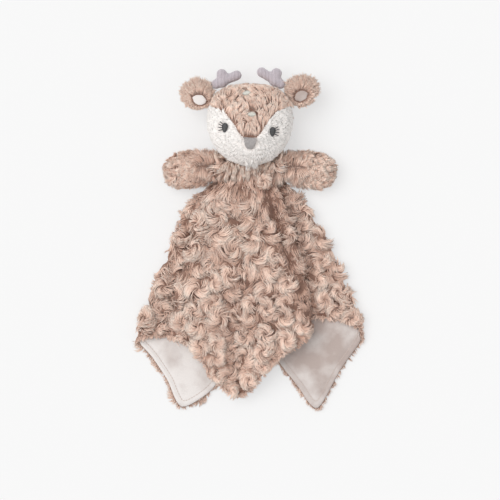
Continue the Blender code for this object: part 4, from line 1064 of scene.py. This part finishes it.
for side, turn in EARS.items():
    ear = stuffed(f"ear_{side}_cover", f"ear_{side}_outer", grow=-0.6 * MM,
                  voxel=1.8 * MM, cap=0.6 * MM, finish=painted_shade_fawn_backing)
    lining = stuffed(f"ear_{side}_velour", f"ear_{side}_lining", grow=0.3 * MM,
                     voxel=1.2 * MM, cap=0.4 * MM, finish=lining_velour)
    for piece, node, cloth in ((ear, f"ear_{side}_outer", "fawn_plush"),
                               (lining, f"ear_{side}_lining", "lining_velour")):
        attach(piece, f"ear_{side}")
        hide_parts(node)
    roots, out = scatter(ear, EAR_LOCKS, 51 + turn)
    lining_points = points_of(lining)
    tree = KDTree(len(lining_points))
    for number, point in enumerate(lining_points):
        tree.insert(point, number)
    tree.balance()
    apart = np.array([tree.find(root)[2] for root in roots])
    kept = (apart > EAR_LINING_CLEAR) | (out[:, 2] < 0)
    roots, out = roots[kept], out[kept]
    middle = lining_points.mean(0)
    leader, length, width, lift, sway, tone = tufted(
        roots, share=0.3, seed=53 + turn, length=EAR_LOCK_LENGTH, width=EAR_LOCK_WIDTH,
        lift=0.6, tone=0.68, sway=0.3)
    away = unit((roots - middle) * (1, 1, 0.3))
    outer = away[:, 0] * math.copysign(1, middle[0])
    length = length * (1.1 + 0.55 * away[:, 1] - EAR_OUTER_SHORTER[side] * outer.clip(0, 1))
    lie = unit(away - out * (away * out).sum(1, keepdims=True) * 0.8)
    pile = lay_pile(f"ear_{side}_pile", fawn_pile, f"ear_{side}", roots, out, turned(lie, out, sway), length,
                    width, lift, sway, tone, leader, pull=0.25)

# Each antler is two halves of lavender-grey ribbed velour, sewn, turned, lightly filled and set into the
# crown seam: two tines and a low outer prong.
ANTLER_COLOUR, ANTLER_GROOVE_PAINTED_SHADE, ANTLER_RIB_PAINTED_LIGHT = (0.47, 0.42, 0.45), (0.45, 0.395, 0.425), (0.70, 0.63, 0.675)

antler_velour = new_finish("antler_velour", ANTLER_COLOUR, 0.9, 0.4)
place = add_node(antler_velour, "ShaderNodeTexCoord").outputs["Object"]
ribs = add_node(antler_velour, "ShaderNodeTexWave", Vector=place, Scale=205.0, Distortion=2.5, Detail=3.0)
specks = add_node(antler_velour, "ShaderNodeTexNoise", Vector=place, Scale=420.0, Detail=4.0, Roughness=0.7)
# Painted light and shade: the raised ribs are paler and the grooves darker, following the ribs' bump.
rib_painted_light_and_shade = colour_steps(antler_velour, ribs.outputs["Fac"], ((0.1, ANTLER_GROOVE_PAINTED_SHADE), (0.75, ANTLER_RIB_PAINTED_LIGHT)))
speckled = colour_steps(antler_velour, specks.outputs["Fac"], ((0.3, (0.78, 0.78, 0.79)), (0.7, (1, 1, 1))))
wire(antler_velour, mixed(antler_velour, 1.0, rib_painted_light_and_shade, speckled, "MULTIPLY"), ribs.outputs["Fac"], 0.5, 0.0006)
for side in ("left", "right"):
    antler = stuffed(f"antler_{side}_cover", f"antler_{side}_stuffing", grow=2.0 * MM,
                     voxel=1.5 * MM, cap=0.7 * MM, finish=antler_velour)
    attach(antler, f"antler_{side}")
    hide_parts(f"antler_{side}_front", f"antler_{side}_back", f"antler_{side}_stuffing")

# The stage: a pale floor and backdrop, and soft studio light from the upper left. To the eye the floor is
# partly lit from within, as backlit paper is, so that it comes out almost white.
SUN_FROM = (-0.52, 0.2, 1)
CAMERA_PLACE = (0, -12.65 * MM, 1.833)

floor_bm = bmesh.new()
bmesh.ops.create_grid(floor_bm, x_segments=1, y_segments=1, size=3)
floor_finish = new_finish("pale_floor", (0.91, 0.91, 0.91), 0.9, 0)
rays = add_node(floor_finish, "ShaderNodeLightPath").outputs
seen = rays["Is Camera Ray"]
for other in ("Is Glossy Ray", "Is Transmission Ray"):
    either = add_node(floor_finish, "ShaderNodeMath", _0=seen, _1=rays[other])
    either.operation = "MAXIMUM"
    seen = either.outputs[0]
lit_share = add_node(floor_finish, "ShaderNodeMath", _0=seen, _1=0.55)
lit_share.operation = "MULTIPLY"
paper = add_node(floor_finish, "ShaderNodeEmission", Color=(0.92, 0.92, 0.92, 1), Strength=1.0)
shader = floor_finish.node_tree.nodes["Principled BSDF"]
surface_socket = floor_finish.node_tree.nodes["Material Output"].inputs["Surface"]
backlit = add_node(floor_finish, "ShaderNodeMixShader", _0=lit_share.outputs[0], _1=shader.outputs[0],
                   _2=paper.outputs[0])
floor_finish.node_tree.links.new(backlit.outputs[0], surface_socket)
floor = new_piece("floor", floor_bm, floor_finish)

sun = bpy.data.lights.new("window_light", "SUN")
sun.energy = 1.5
sun.angle = math.radians(50)
sun_object = bpy.data.objects.new("window_light", sun)
sun_object.rotation_euler = Vector(SUN_FROM).to_track_quat("Z", "Y").to_euler()
bpy.context.scene.collection.objects.link(sun_object)
world = bpy.data.worlds.new("room")
world.use_nodes = True
world.node_tree.nodes["Background"].inputs["Color"].default_value = (1, 1, 1, 1)
world.node_tree.nodes["Background"].inputs["Strength"].default_value = 0.65
bpy.context.scene.world = world
bpy.context.scene.view_settings.view_transform = "Standard"

camera = bpy.data.cameras.new("overhead")
camera.lens = 120
camera.sensor_width = 36
camera.clip_end = 10
camera_object = bpy.data.objects.new("overhead", camera)
camera_object.location = CAMERA_PLACE
bpy.context.scene.collection.objects.link(camera_object)
bpy.context.scene.camera = camera_object
